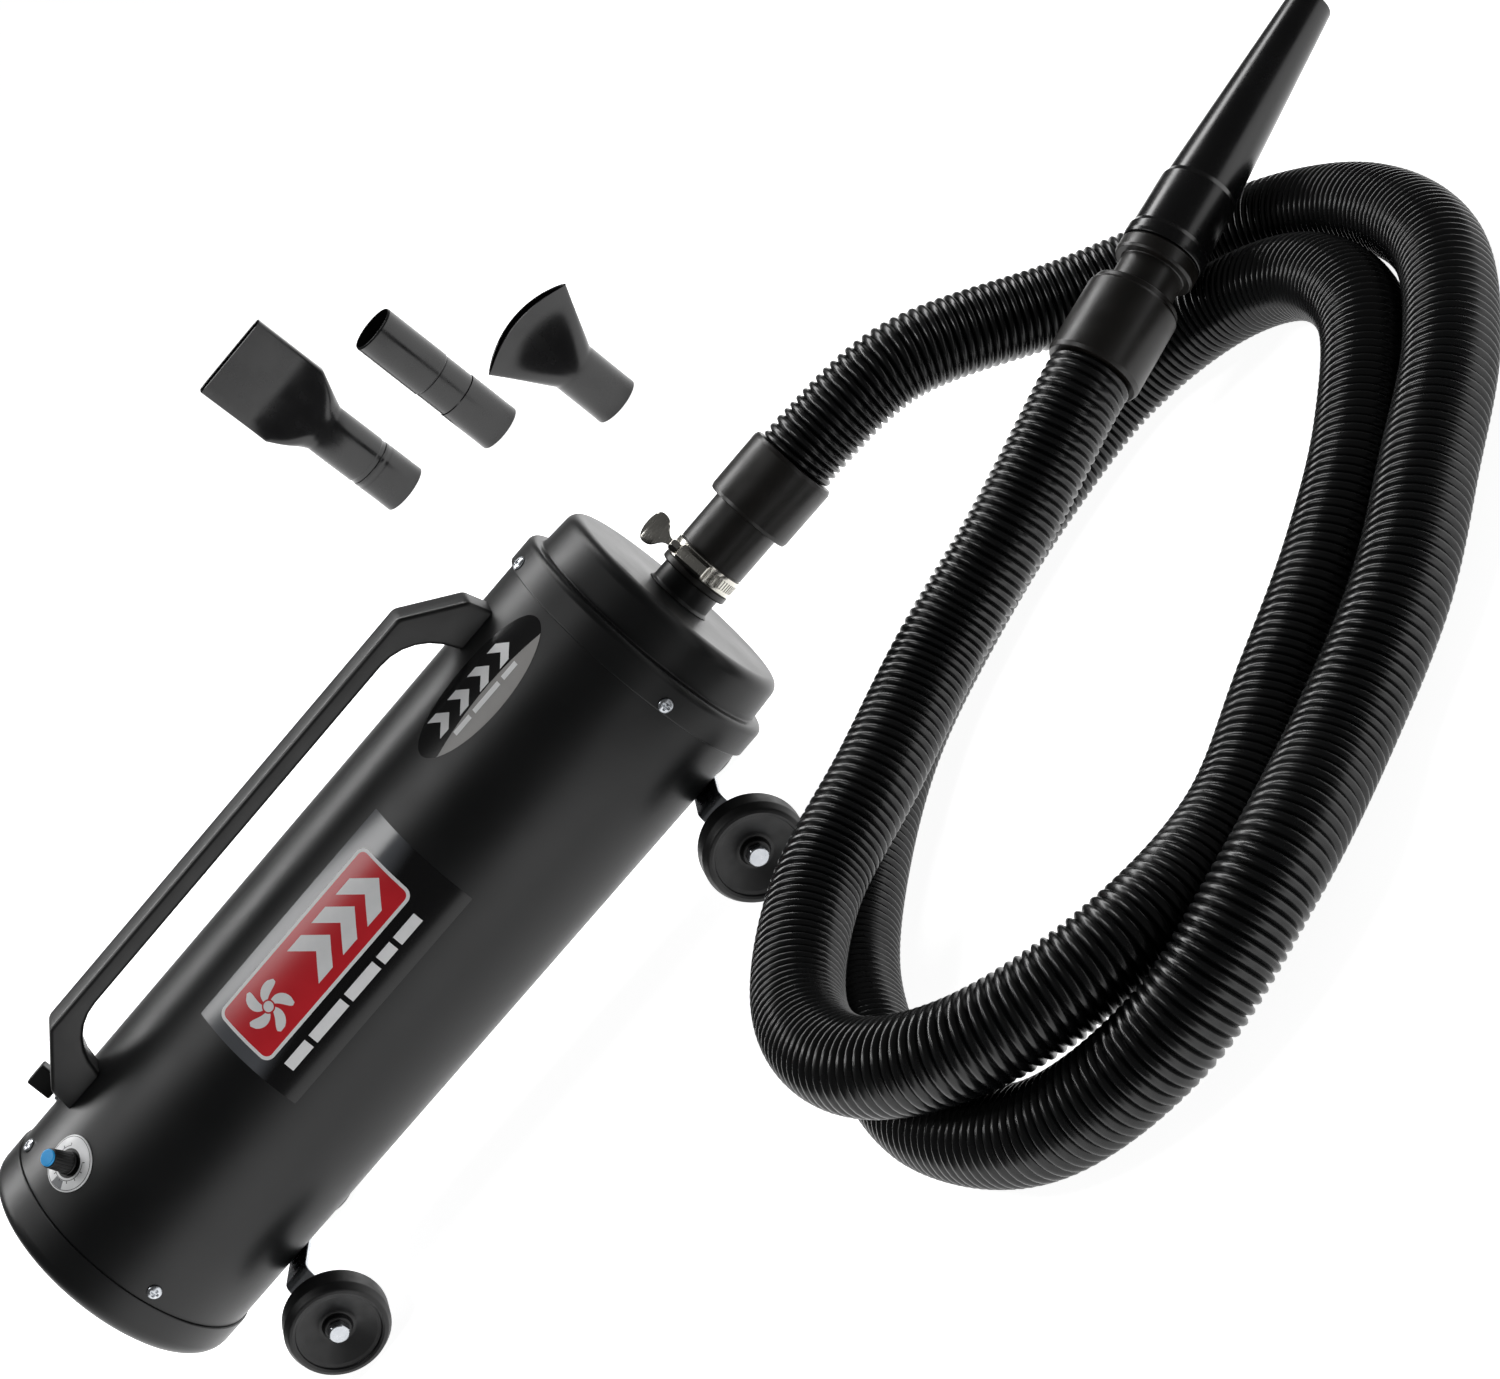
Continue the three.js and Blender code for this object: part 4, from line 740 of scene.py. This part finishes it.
for end, along_x in (("front", 1), ("rear", -1)):
    for near_or_far, side in (("near", -1), ("far", 1)):
        wheel, axle = f"{end}_{near_or_far}", np.array([along_x * WHEEL_BASE / 2, 0, -AXLE_DROP])
        hub = place(axle + [0, side * TREAD_Y, 0], (0, side, 0))
        behind = place(axle + [0, side * (STRAP_Y - 1.8), 0], (0, -side, 0))
        shank = turned(rounded([(-26.5, 0), (-26.5, AXLE_RADIUS, 0.8), (10, AXLE_RADIUS), (10, 0)]), hub, 32)
        bolt = together(hex_head(hub, 9.8, 15.6, 8.0), shank)
        piece(f"wheel_{wheel}_moulding", turned(wheel_profile, hub, 128, ring=True), tyre, f"wheel_{wheel}")
        piece(f"bolt_{wheel}_hexagon", bolt, zinc, f"axle_bolt_{wheel}", crease=25)
        piece(f"nut_{wheel}_hexagon", hex_head(behind, 0.2, 5.5, 8.0), zinc, f"axle_nut_{wheel}", crease=25)

# %% [markdown]
# ## Controls
# The dial and the labels lie on the tube, so they are worked out flat and then rolled round it: what would be a
# sideways distance becomes an angle. A Shrinkwrap modifier does that too, but wants a dense mesh to look round.


# %% On the tube's surface
def on_tube(x, v, lift, degrees=0.0):
    """Points x along the canister and v millimetres round it from an angle, lift above the steel."""
    turn = np.radians(degrees) + v / TUBE_RADIUS
    reach = TUBE_RADIUS + lift
    return np.stack([x + 0 * turn, -reach * np.sin(turn), reach * np.cos(turn)], axis=-1)


def printed(name, x, low, high, lift, material, degrees=0.0, steps=24):
    """A thin printed patch: for each x, it runs from low to high round the tube, measured from an angle."""
    share = np.linspace(0, 1, steps + 1)[:, None]
    points = put(on_tube(x[None], low[None] * (1 - share) + high[None] * share, lift, degrees), AXIS)
    return piece(name, grid(points, wrap_columns=False), material, body="blower", crease=60)


# %% [markdown]
# The dial is a printed disc with tick marks, and a grey sector where the speed is lowest. The knob is fluted, so
# that wet fingers can turn it: its radius dips 18 times round. A light blue cap closes it.

# %% Dial, knob and cap
DIAL_X, DIAL_DEGREES, DIAL_RADIUS = -249.0, 29.0, 20.0
DIAL_LIFT, DIAL_BORE = 1.3, 5.4
dial_angle = np.linspace(0, 2 * np.pi, 96, endpoint=False)
dial_rings = (
    (DIAL_BORE, 0.35), (DIAL_BORE, DIAL_LIFT), (10, DIAL_LIFT), (14, DIAL_LIFT), (DIAL_RADIUS - 0.4, DIAL_LIFT),
    (DIAL_RADIUS, DIAL_LIFT - 0.3), (DIAL_RADIUS, 0.35),
)
rows = [
    on_tube(DIAL_X + r * np.cos(dial_angle), r * np.sin(dial_angle), lift, DIAL_DEGREES) for r, lift in dial_rings
]
piece("dial_disc", grid(put(np.array(rows), AXIS), wrap_rows=True), white_ink, "dial_plate")


def dial_ring(name, inner, outer, start, end, material, lift=0.06, sides=64):
    """Part of a flat ring on the dial between two radii and two angles in degrees."""
    turn = np.radians(np.linspace(start, end, sides))
    rows = [on_tube(DIAL_X + r * np.cos(turn), r * np.sin(turn), DIAL_LIFT + lift, DIAL_DEGREES)
            for r in np.linspace(inner, outer, 4)]
    return piece(name, grid(put(np.array(rows), AXIS), wrap_columns=False), material, body="blower",
                 crease=60)


dial_ring("dial_middle", 5.5, 10.4, 0, 360, satin)
dial_ring("dial_edge_line", 18.6, 19.0, 0, 360, satin)
dial_ring("dial_scale_line", 12.0, 12.4, 45, 315, satin)
dial_ring("dial_low_sector", 12.6, 18.4, 150, 182, graphite)
for number, degrees in enumerate(np.linspace(45, 315, 10)):
    dial_ring(f"dial_tick_{number}", 12.4, 14.2, degrees - 1.2, degrees + 1.2, satin, sides=3)


def flute(angle, along):
    """18 shallow flutes on the knob's upper part, each a rounded wave 0.35 mm deep."""
    wave = 1 - 0.045 * (0.5 + 0.5 * np.cos(18 * angle)) ** 3
    return np.where((along > 4.2) & (along < 20.6), wave, 1.0)


KNOB = outward(DIAL_X, DIAL_DEGREES, TUBE_RADIUS)
knob_side = rounded([
    (2.2, 3.4, 0.2), (2.2, 8.5, 0.5), (4.0, 8.5, 0.6), (4.3, 7.6, 0.3), (21.2, 6.9, 0.8), (21.2, 0, 0),
])
cap_side = rounded([(21.3, 0), (21.3, 6.1, 0.2), (23.1, 6.0, 0.8), (23.3, 0)])
knob_profile = np.vstack([[(2.2, 0)], knob_side])
piece("knob_fluted", turned(knob_profile, KNOB, 216, flutes=flute), satin, "speed_knob")
piece("knob_blue_cap", turned(cap_side, KNOB, 64), blue_plastic, "knob_cap")

# %% [markdown]
# The switch is a hexagon nut on a threaded bushing, with a flat paddle that rocks. The paddle is an outline with
# round corners, pushed out along a direction that leans 12 degrees from the bushing's.

# %% Power switch
SWITCH = outward(DIAL_X, -DIAL_DEGREES, TUBE_RADIUS)
piece("switch_hexagon", hex_head(SWITCH, 0.3, 3.0, 9.0), zinc, "switch_nut", crease=25)
bushing = rounded([(0.2, 0), (0.2, 5.8, 0.2), (4.9, 5.8, 0.6), (4.9, 0)])
piece("switch_bushing", turned(bushing, SWITCH, 48), zinc, "switch_body")
LEAN = np.radians(12.0)
PADDLE_HALF_THICK, PADDLE_HALF_WIDE, PADDLE_LOW, PADDLE_HIGH = 6, 9, 6.5, 26.4
switch_origin, switch_axes = SWITCH
lean = np.array([[np.cos(LEAN), np.sin(LEAN), 0], [-np.sin(LEAN), np.cos(LEAN), 0], [0, 0, 1]])
paddle = rounded([
    (y * PADDLE_HALF_THICK, z * PADDLE_HALF_WIDE, 2.0) for y, z in ((-1, -1), (1, -1), (1, 1), (-1, 1))
], closed=True, steps=6)
paddle_skin = prism(paddle, PADDLE_LOW, PADDLE_HIGH, (switch_origin, lean @ switch_axes), edge=1.6, steps=5)
piece("paddle_moulding", paddle_skin, satin, "switch_paddle", crease=30)

# %% [markdown]
# ## The outlet
# A steel neck leaves the front face. The hose's rubber connector is pushed over it, and the hose's cuff sits on
# the connector. All three are round, so each is one closed profile turned about the canister's axis.

# %% Neck, connector and cuff
NECK_BORE = 21.5
neck_profile = rounded([
    (317.2, NECK_BORE), (317.2, NECK_RADIUS + 2.2, 0.3), (319.6, NECK_RADIUS, 1.6), (352, NECK_RADIUS, 0.4),
    (352, NECK_BORE, 0.4),
], 0.3, closed=True)
piece("neck_tube", turned(neck_profile, sides=96, ring=True), coat, "outlet_neck")
connector_profile = rounded([
    (333, 23.5, 0.5), (333, 26.9, 1.2), (338, 26.9, 0.8), (338.4, 25.7, 0.4), (352.6, 25.7, 0.4),
    (353.4, 26.2, 0.6), (441, 26.2, 0.3), (441, 22.0, 0.3), (353, 22.0, 0.3), (353, 23.5, 0.3),
], closed=True)
piece("connector_moulding", turned(connector_profile, sides=96, ring=True), cuff_rubber, "hose_connector")
cuff_profile = rounded([
    (391, 26.5, 0.4), (391, 32.4, 1.0), (394, 33.2, 1.4), (438, 33.5, 2.0), (441, 32.2, 0.8), (441, 26.5, 0.3),
], closed=True)
piece("outlet_cuff_moulding", turned(cuff_profile, sides=96, ring=True), cuff_rubber, "outlet_cuff")

# %% [markdown]
# A worm-drive clamp holds the connector: a slotted stainless band, a housing, and a screw with a butterfly key that
# turns by hand. The slots are a step in the band's radius, on wherever a cosine of the angle is above a limit, so
# no holes have to be cut. The key is a flat outline whose two edges are rounded over.

# %% Worm-drive clamp
BAND_X, BAND_HALF, BAND_INNER, BAND_OUTER = 345.3, 6.5, 26.0, 26.9
CLAMP_DEGREES = 53.0
SLOTS, SLOT_HALF, SLOT_DEPTH = 60, 3.0, 0.42
band_angle = np.linspace(0, 2 * np.pi, 600, endpoint=False)
in_slot = np.cos(SLOTS * band_angle) > -0.1
band_levels = (
    (-BAND_HALF, BAND_INNER), (-BAND_HALF, BAND_OUTER), (-6.1, 27.05), (-3.4, 26.95), (-SLOT_HALF, BAND_OUTER),
    (SLOT_HALF, BAND_OUTER), (3.4, 26.95), (6.1, 27.05), (BAND_HALF, BAND_OUTER), (BAND_HALF, BAND_INNER),
)
band_rows = []
for x, reach in band_levels:
    reach = reach - SLOT_DEPTH * (abs(x) <= SLOT_HALF) * in_slot
    level_x = np.full(len(band_angle), BAND_X + x)
    band_rows.append(np.column_stack([level_x, reach * np.cos(band_angle), reach * np.sin(band_angle)]))
piece("slotted_band", grid(put(np.array(band_rows), AXIS), wrap_rows=True), stainless, "clamp_band", crease=25)

clamp_out = outward(BAND_X, CLAMP_DEGREES)[1][0]
across_clamp = np.array([0, np.cos(np.radians(CLAMP_DEGREES)), np.sin(np.radians(CLAMP_DEGREES))])
HOUSING = place((BAND_X, 0, 0), across_clamp, clamp_out)
house = rounded([
    (-6, 27.2, 0.8), (6, 27.2, 0.8), (6, 33.4, 2.0), (3.6, 37.0, 2.5), (-3.6, 37.0, 2.5), (-6, 33.4, 2.0),
], closed=True, steps=4)
piece("worm_housing", prism(house, -12.0, 12.0, HOUSING, edge=0.5), stainless, "clamp_housing", crease=30)

SCREW_OUT = 32.2
SCREW = place(np.array([BAND_X, 0, 0]) + SCREW_OUT * clamp_out, across_clamp, clamp_out)
worm = turned(rounded([(-11.6, 0), (-11.6, 2.3), (13, 2.3), (13, 0)], 0.3), SCREW, 32)
collar = hex_head(SCREW, 13.2, 20.0, 4.6)


def butterfly(steps=97):
    """Half widths along the key: a stem that opens along an S curve into one broad wing with a round end."""
    t = np.linspace(0, 1, steps)
    half = 2.4 + 10.1 / (1 + np.exp(-(t - 0.38) / 0.075))
    half *= np.sqrt(np.clip(1 - ((t - 0.62) / 0.385).clip(0) ** 4, 0.0, 1))
    return 19 + 24 * t, np.maximum(half, 0.3)


key_section = np.array([(0, -0.9), (-0.9, -0.9), (-1, -0.4), (-1, 0.4), (-0.9, 0.9), (0, 0.9), (0.9, 0.9),
                        (1, 0.4), (1, -0.4), (0.9, -0.9)])
key_along, key_half = butterfly()
key_across = key_half[:, None] * 0.995 * key_section[:, 0]
key_rows = np.stack([key_along[:, None] + 0 * key_across, key_across, key_section[:, 1] + 0 * key_across], axis=-1)
key = grid(put(capped(key_rows), SCREW))
piece("butterfly_key", together(worm, collar, key), stainless, "clamp_thumb_screw", crease=30)

# %% [markdown]
# ## The nozzle and the spares
# The hose ends in a cuff, a coupling with a ring and a long tapered nozzle. All are thin mouldings with round lips,
# and their sockets have a ring that stiffens the mouth. Each is a closed profile of its outside and its bore,
# turned about a place that points along the hose's last stretch.

# %% Tool end
TOOL = place(TOOL_START + [0, 0, FLOOR], TOOL_WAY)
tool_cuff = rounded([
    (0, 25.0, 0.3), (0, 31.6, 1.0), (3, 33, 2.0), (56, 32.6, 2.0), (58, 31.0, 1.2), (62, 30.6, 1.4),
    (62, 22.6, 0.3),
], closed=True)
piece("tool_cuff_moulding", turned(tool_cuff, TOOL, ring=True), cuff_rubber, "tool_cuff")
coupling = rounded([
    (20, 18.1, 0.3), (20, 22.2, 0.3), (84, 22.3, 1.0), (84, 27.4, 0.6), (86, 28.5, 1.2), (94, 28.5, 1.2),
    (96, 27.4, 0.8), (96, 23.4, 0.4), (138, 23.2, 0.8), (138, 18.1, 0.4),
], closed=True)
piece("coupling_moulding", turned(coupling, TOOL, ring=True), cuff_rubber, "tool_coupling")
nozzle = rounded([
    (96.4, 23.9, 0.3), (96.4, 28.6, 1.0), (99, 29.3, 1.4), (105, 29.3, 1.6), (108.3, 27.9, 1.0),
    (148, 27.2, 1.6), (152, 25.4, 1.8), (310.3, 15.8, 0.8), (310.3, 13.9, 0.6), (152, 23.2, 2.0), (139, 23.9, 1.0),
], closed=True)
piece("tapered_nozzle", turned(nozzle, TOOL, ring=True), shiny, "blower_nozzle")

# %% [markdown]
# The three spares stand on the floor behind the hose. The extension is a plain tube with a step and a lip.


# %% Extension tube
def standing(x, y):
    """A place on the floor whose x axis points up and whose y axis runs along the canister."""
    return place((x, y, FLOOR), (0, 0, 1), (0, -1, 0))


EXTENSION = standing(208, 1025)
extension = rounded([
    (0, 23.9, 0.6), (0, 26, 1.0), (58.4, 26, 0.5), (59.6, 25.2, 0.4), (92, 25.2, 0.5), (93.6, 24.9, 0.6),
    (94.4, 25.9, 0.6), (169, 25.7, 1.2), (171, 24.9, 0.6), (171, 23.8, 0.4),
], closed=True)
piece("extension_moulding", turned(extension, EXTENSION, ring=True), shiny, "spare_extension")

# %% [markdown]
# The slot and fan nozzles are round at the foot and wide and flat at the mouth. Modelled by hand, that is a cylinder
# whose top loops are scaled; here each height has its own superellipse, so the change from round to flat is smooth.


# %% Shapes that go from round to flat
def ovals(height, half_width, half_depth, squareness, bow, sides=128):
    """Superellipse rings |y/a|**n + |z/b|**n = 1, where a, b and n change with height; bow lifts the ends."""
    angle = np.linspace(0, 2 * np.pi, sides, endpoint=False)[None]
    c, s = np.cos(angle), np.sin(angle)
    power = 2 / squareness[:, None]
    y = half_width[:, None] * np.sign(c) * np.abs(c) ** power
    z = half_depth[:, None] * np.sign(s) * np.abs(s) ** power
    up = height[:, None] + bow[:, None] * (y / half_width[:, None]) ** 2
    return np.stack([up + 0 * y, y, z], axis=-1)


def eased(value, low, high):
    """A share that rises smoothly from 0 to 1 between two heights."""
    t = np.clip((value - low) / (high - low), 0, 1)
    return t * t * (3 - 2 * t)


def nozzle_skin(at, up, half_w, half_d, square, bow, bore, lip_rise):
    """Outer rings, a round lip and inner rings as one closed skin; bore is the most that the inside is deep."""
    outer = ovals(up, half_w, half_d, square, bow)
    inner = ovals(up, half_w - NOZZLE_WALL, np.minimum(half_d - 2.0, bore), square, bow)
    lip = [ovals(up[-1:] + lip_rise, half_w[-1:] - i, half_d[-1:] - i, square[-1:], bow[-1:]) for i in (0.7, 1.5)]
    return grid(put(np.concatenate([inner[:1], outer, *lip, inner[::-1][:-1]]), at), wrap_rows=True)


NOZZLE_WALL = 2.2
print("half way between two heights, the eased share is", eased(5.0, 0.0, 10.0))

# %% Slot nozzle
TALL, FOOT, MOUTH_WIDE, MOUTH_DEEP = 237.0, 28.0, 48.5, 8.0
up = np.unique(np.concatenate([np.linspace(0, TALL, 120), [48, 49, 53.5, 54.5]]))
groove = 0.8 * (eased(up, 47.4, 48.4) - eased(up, 53.6, 54.6))
groove += 0.5 * (eased(up, 40.6, 41.2) - eased(up, 42, 42.6))
stem = FOOT - groove
wide = FOOT + (MOUTH_WIDE - FOOT) * np.clip((up - 0.47 * TALL) / (0.17 * TALL), 0, 1)
deep = FOOT - (FOOT - MOUTH_DEEP) * eased(up, 0.36 * TALL, 0.76 * TALL)
half_w = np.where(up < 0.47 * TALL, stem, wide)
half_d = np.where(up < 0.36 * TALL, stem, deep)
square = 2 + 4.5 * eased(up, 0.49 * TALL, 0.63 * TALL)
slot_skin = nozzle_skin(standing(79, 1141), up, half_w, half_d, square, 0 * up, bore=23.9, lip_rise=0.5)
piece("slot_nozzle_moulding", slot_skin, shiny, "spare_slot_nozzle", crease=35)

# %% Fan nozzle
TALL, FOOT, MOUTH_WIDE, MOUTH_DEEP = 129.0, 25.5, 56.5, 10.0
up = np.linspace(0, TALL, 90)
spread = np.clip((up - 57) / (TALL - 57), 0, 1)
half_w = FOOT + (MOUTH_WIDE - FOOT) * spread**0.9
half_d = FOOT - (FOOT - MOUTH_DEEP) * eased(up, 50, TALL - 12)
bow = -15.0 * spread**1.5
fan_skin = nozzle_skin(standing(325, 807), up, half_w, half_d, 2 + 0.6 * spread, bow, bore=23.4, lip_rise=0.4)
piece("fan_nozzle_moulding", fan_skin, shiny, "spare_fan_nozzle", crease=35)

# %% [markdown]
# ## Labels
# Two vinyl labels sit on the tube. Their signs are plain: a red panel with a fan, and arrows that point where the
# air goes. An image texture would be the usual way; here each colour is its own thin patch a little above the one
# below, which stays sharp from close by and needs no file.

# %% Main label
LABEL_REAR, LABEL_FRONT, LABEL_DEGREES, LABEL_TALL = -106.0, 83.0, 30.0, 94.0
PANEL_MIDDLE = 36.5
FILM_LIFT, BORDER_LIFT, PANEL_LIFT, SIGN_LIFT = 0.15, 0.22, 0.28, 0.34


def corner_cut(x, low, high, radius):
    """How much a rounded rectangle's side is drawn in at x, by the circle equation at both ends."""
    off = np.clip(radius - np.minimum(x - low, high - x), 0, radius)
    return radius - np.sqrt(radius**2 - off**2)


def rounded_patch(name, left, right, top, bottom, radius, lift, material):
    """A rectangle with round corners on the main label."""
    ends = radius * (1 - np.cos(np.linspace(0, np.pi / 2, 9)))
    x = np.concatenate([left + ends[:-1], np.linspace(left + radius, right - radius, 40), right - ends[-2::-1]])
    drawn = corner_cut(x, left, right, radius)
    return printed(name, x, top + drawn, bottom - drawn, lift, material, LABEL_DEGREES, steps=40)


def bar(name, left, right, top, bottom, lift, degrees, count, steps):
    """A plain white bar between two places along the canister and two round it."""
    x = np.linspace(left, right, count)
    return printed(name, x, top + 0 * x, bottom + 0 * x, lift, white_ink, degrees, steps=steps)


# the label's film carries a painted highlight, paler towards its top
rounded_patch("label_film_painted_highlight", LABEL_REAR, LABEL_FRONT, 0, LABEL_TALL, 1.0, FILM_LIFT, label_film_painted_highlight)
rounded_patch("panel_border", -96, 60, 11, 62, 7, BORDER_LIFT, white_ink)
rounded_patch("panel_red", -93.6, 57.6, 13.4, 59.6, 5, PANEL_LIFT, red_ink)
for number, (left, right) in enumerate(((-88, -66), (-62, -28), (-24, 6), (10, 24), (28, 50))):
    bar(f"label_bar_{number}", left, right, 70, 78, PANEL_LIFT, LABEL_DEGREES, count=12, steps=8)

# %% [markdown]
# The fan has five blades that lean as they go out, and each arrow is a band whose middle is ahead of its ends.


# %% Fan and arrows
def patch_on(name, x, v, lift, degrees):
    """A white patch from two arrays: places along the canister and round it."""
    skin = grid(put(on_tube(x, v, lift, degrees), AXIS), wrap_columns=False)
    return piece(name, skin, white_ink, body="blower", crease=60)


def arrow(name, x, v, long, lead, half_tall, lift, degrees, rows, columns):
    """A chevron: a band as long as given, half_tall high each way, pushed ahead by lead in its middle."""
    share = np.linspace(-1, 1, rows)[:, None]
    along_x = x + np.linspace(0, long, columns)[None] + lead * (1 - np.abs(share))
    return patch_on(name, along_x, v + half_tall * share + 0 * along_x, lift, degrees)


def fan_symbol(name, x, v, size, lift, degrees, blades=5):
    """Curved blades round a hub: each blade's edges are two arcs that lean as they go outwards."""
    reach = np.linspace(0.26, 1, 12)[:, None]
    share = np.linspace(-1, 1, 9)[None]
    for number in range(blades):
        half_open = 0.42 * np.sin(np.pi * reach**0.8) ** 0.5
        turn = 2 * np.pi * number / blades + 0.9 * (reach - 0.26) + share * half_open
        blade_x, blade_v = x + size * reach * np.cos(turn), v + size * reach * np.sin(turn)
        patch_on(f"{name}_blade_{number}", blade_x, blade_v, lift, degrees)
    turn = np.linspace(0, 2 * np.pi, 40)[None]
    hub = size * np.linspace(0.0, 0.2, 4)[:, None]
    patch_on(f"{name}_hub", x + hub * np.cos(turn), v + hub * np.sin(turn), lift, degrees)


fan_symbol("panel_fan", -66, PANEL_MIDDLE, 19, SIGN_LIFT, LABEL_DEGREES)
for number in range(3):
    arrow(f"panel_arrow_{number}", -30 + 26 * number, PANEL_MIDDLE, 15, 15, 16, SIGN_LIFT, LABEL_DEGREES, 21, 8)

# %% [markdown]
# The oval label follows an ellipse, so its height at each place comes from the circle equation, stretched.

# %% Oval label
OVAL_X, OVAL_DEGREES, OVAL_LONG, OVAL_TALL = 192.5, 29.5, 61.5, 24.0
x = OVAL_X + OVAL_LONG * np.sin(np.linspace(-np.pi / 2, np.pi / 2, 60))
edge = OVAL_TALL * np.sqrt(np.clip(1 - ((x - OVAL_X) / OVAL_LONG) ** 2, 0, 1))
# the oval's film carries a painted highlight, slightly paler towards its top
printed("oval_film_painted_highlight", x, -edge, edge, FILM_LIFT, oval_film_painted_highlight, OVAL_DEGREES)
crescent_top = 5 + 7.5 * ((x - OVAL_X - 4) / OVAL_LONG) ** 2
printed("oval_crescent", x, np.minimum(crescent_top, edge), edge, BORDER_LIFT, grey_ink, OVAL_DEGREES)
for number in range(4):
    arrow(f"oval_arrow_{number}", OVAL_X - 44 + 21 * number, -5.0, 9, 8, 9, 0.3, OVAL_DEGREES, 17, 6)
for number, (left, right) in enumerate(((-34, -18), (-14, 12), (16, 30))):
    bar(f"oval_bar_{number}", OVAL_X + left, OVAL_X + right, 8.5, 12.5, 0.3, OVAL_DEGREES, count=10, steps=4)

# %% [markdown]
# ## Inside
# The motors, fan cases and controls inside the tube show only when it is opened. They keep the measured shapes
# and get the finish of their kind: pressed steel, aluminium, copper windings and dark moulded plastic.

# %% Finishes for the measured pieces that stay
INSIDE = {"fan_case": steel_sheet, "impeller": aluminium, "motor_frame": steel_sheet, "armature": copper}
finishes = {f"{kind}_{end}": material for end in ("front", "rear") for kind, material in INSIDE.items()}
finishes["speed_control"] = satin
for node, material in finishes.items():
    kept = frame["nodes"][node]
    kept.data.materials.clear()
    kept.data.materials.append(material)
print("finished as measured:", ", ".join(finishes))

# %% [markdown]
# ## Floor and light
# The floor and the walls are the pale paper of a studio. The floor glows a little, as paper lit from all round
# would, and the world is white to the camera but dim to the object, so the black parts stay black. One wide light
# above and behind draws the grey line along the tube's top, and a smaller one at the left the glow on its side.

# %% Floor, world and lights
paper, tree, shader, spot = begin("studio_paper", "#f4f4f4", 0.9)
shader.inputs["Emission Color"].default_value = (1, 1, 1, 1)
shader.inputs["Emission Strength"].default_value = 0.93
floor_mesh = bpy.data.meshes.new("floor")
FLOOR_REACH, FLOOR_LEVEL = 30.0, -0.0006
corners = [(FLOOR_REACH * x, FLOOR_REACH * y, FLOOR_LEVEL) for x, y in ((-1, -1), (1, -1), (1, 1), (-1, 1))]
floor_mesh.from_pydata(corners, [], [(0, 1, 2, 3)])
floor_mesh.materials.append(paper)
floor = bpy.data.objects.new("floor", floor_mesh)
bpy.context.scene.collection.objects.link(floor)

world = bpy.data.worlds.new("studio")
bpy.context.scene.world = world
world.use_nodes = True
tree = world.node_tree
seen = add(tree, "ShaderNodeLightPath")
strength = add(tree, "ShaderNodeMapRange", [("Value", seen.outputs["Is Camera Ray"])])
strength.inputs["To Min"].default_value = 0.08
strength.inputs["To Max"].default_value = 1.0
tree.nodes["Background"].inputs["Color"].default_value = (1, 1, 1, 1)
tree.links.new(strength.outputs[0], tree.nodes["Background"].inputs["Strength"])
bpy.context.scene.view_settings.view_transform = "Standard"


def soft_light(name, place_mm, target_mm, width, height, watts):
    """A rectangular light that faces a target; sizes in metres."""
    lamp = bpy.data.objects.new(name, bpy.data.lights.new(name, "AREA"))
    lamp.data.shape = "RECTANGLE"
    lamp.data.size, lamp.data.size_y, lamp.data.energy = width, height, watts
    start, target = from_floor(place_mm), from_floor(target_mm)
    lamp.location = start
    lamp.rotation_euler = Vector((target - start).tolist()).to_track_quat("-Z", "Y").to_euler()
    bpy.context.scene.collection.objects.link(lamp)
    print(f"{name}: {width} x {height} m, {watts} W")


soft_light("overhead", (100, 1100, 1500), (200, 0, 100), 3.2, 0.5, 42)
soft_light("front_left", (-500, -250, 2100), (200, 0, 100), 1.0, 0.35, 9)
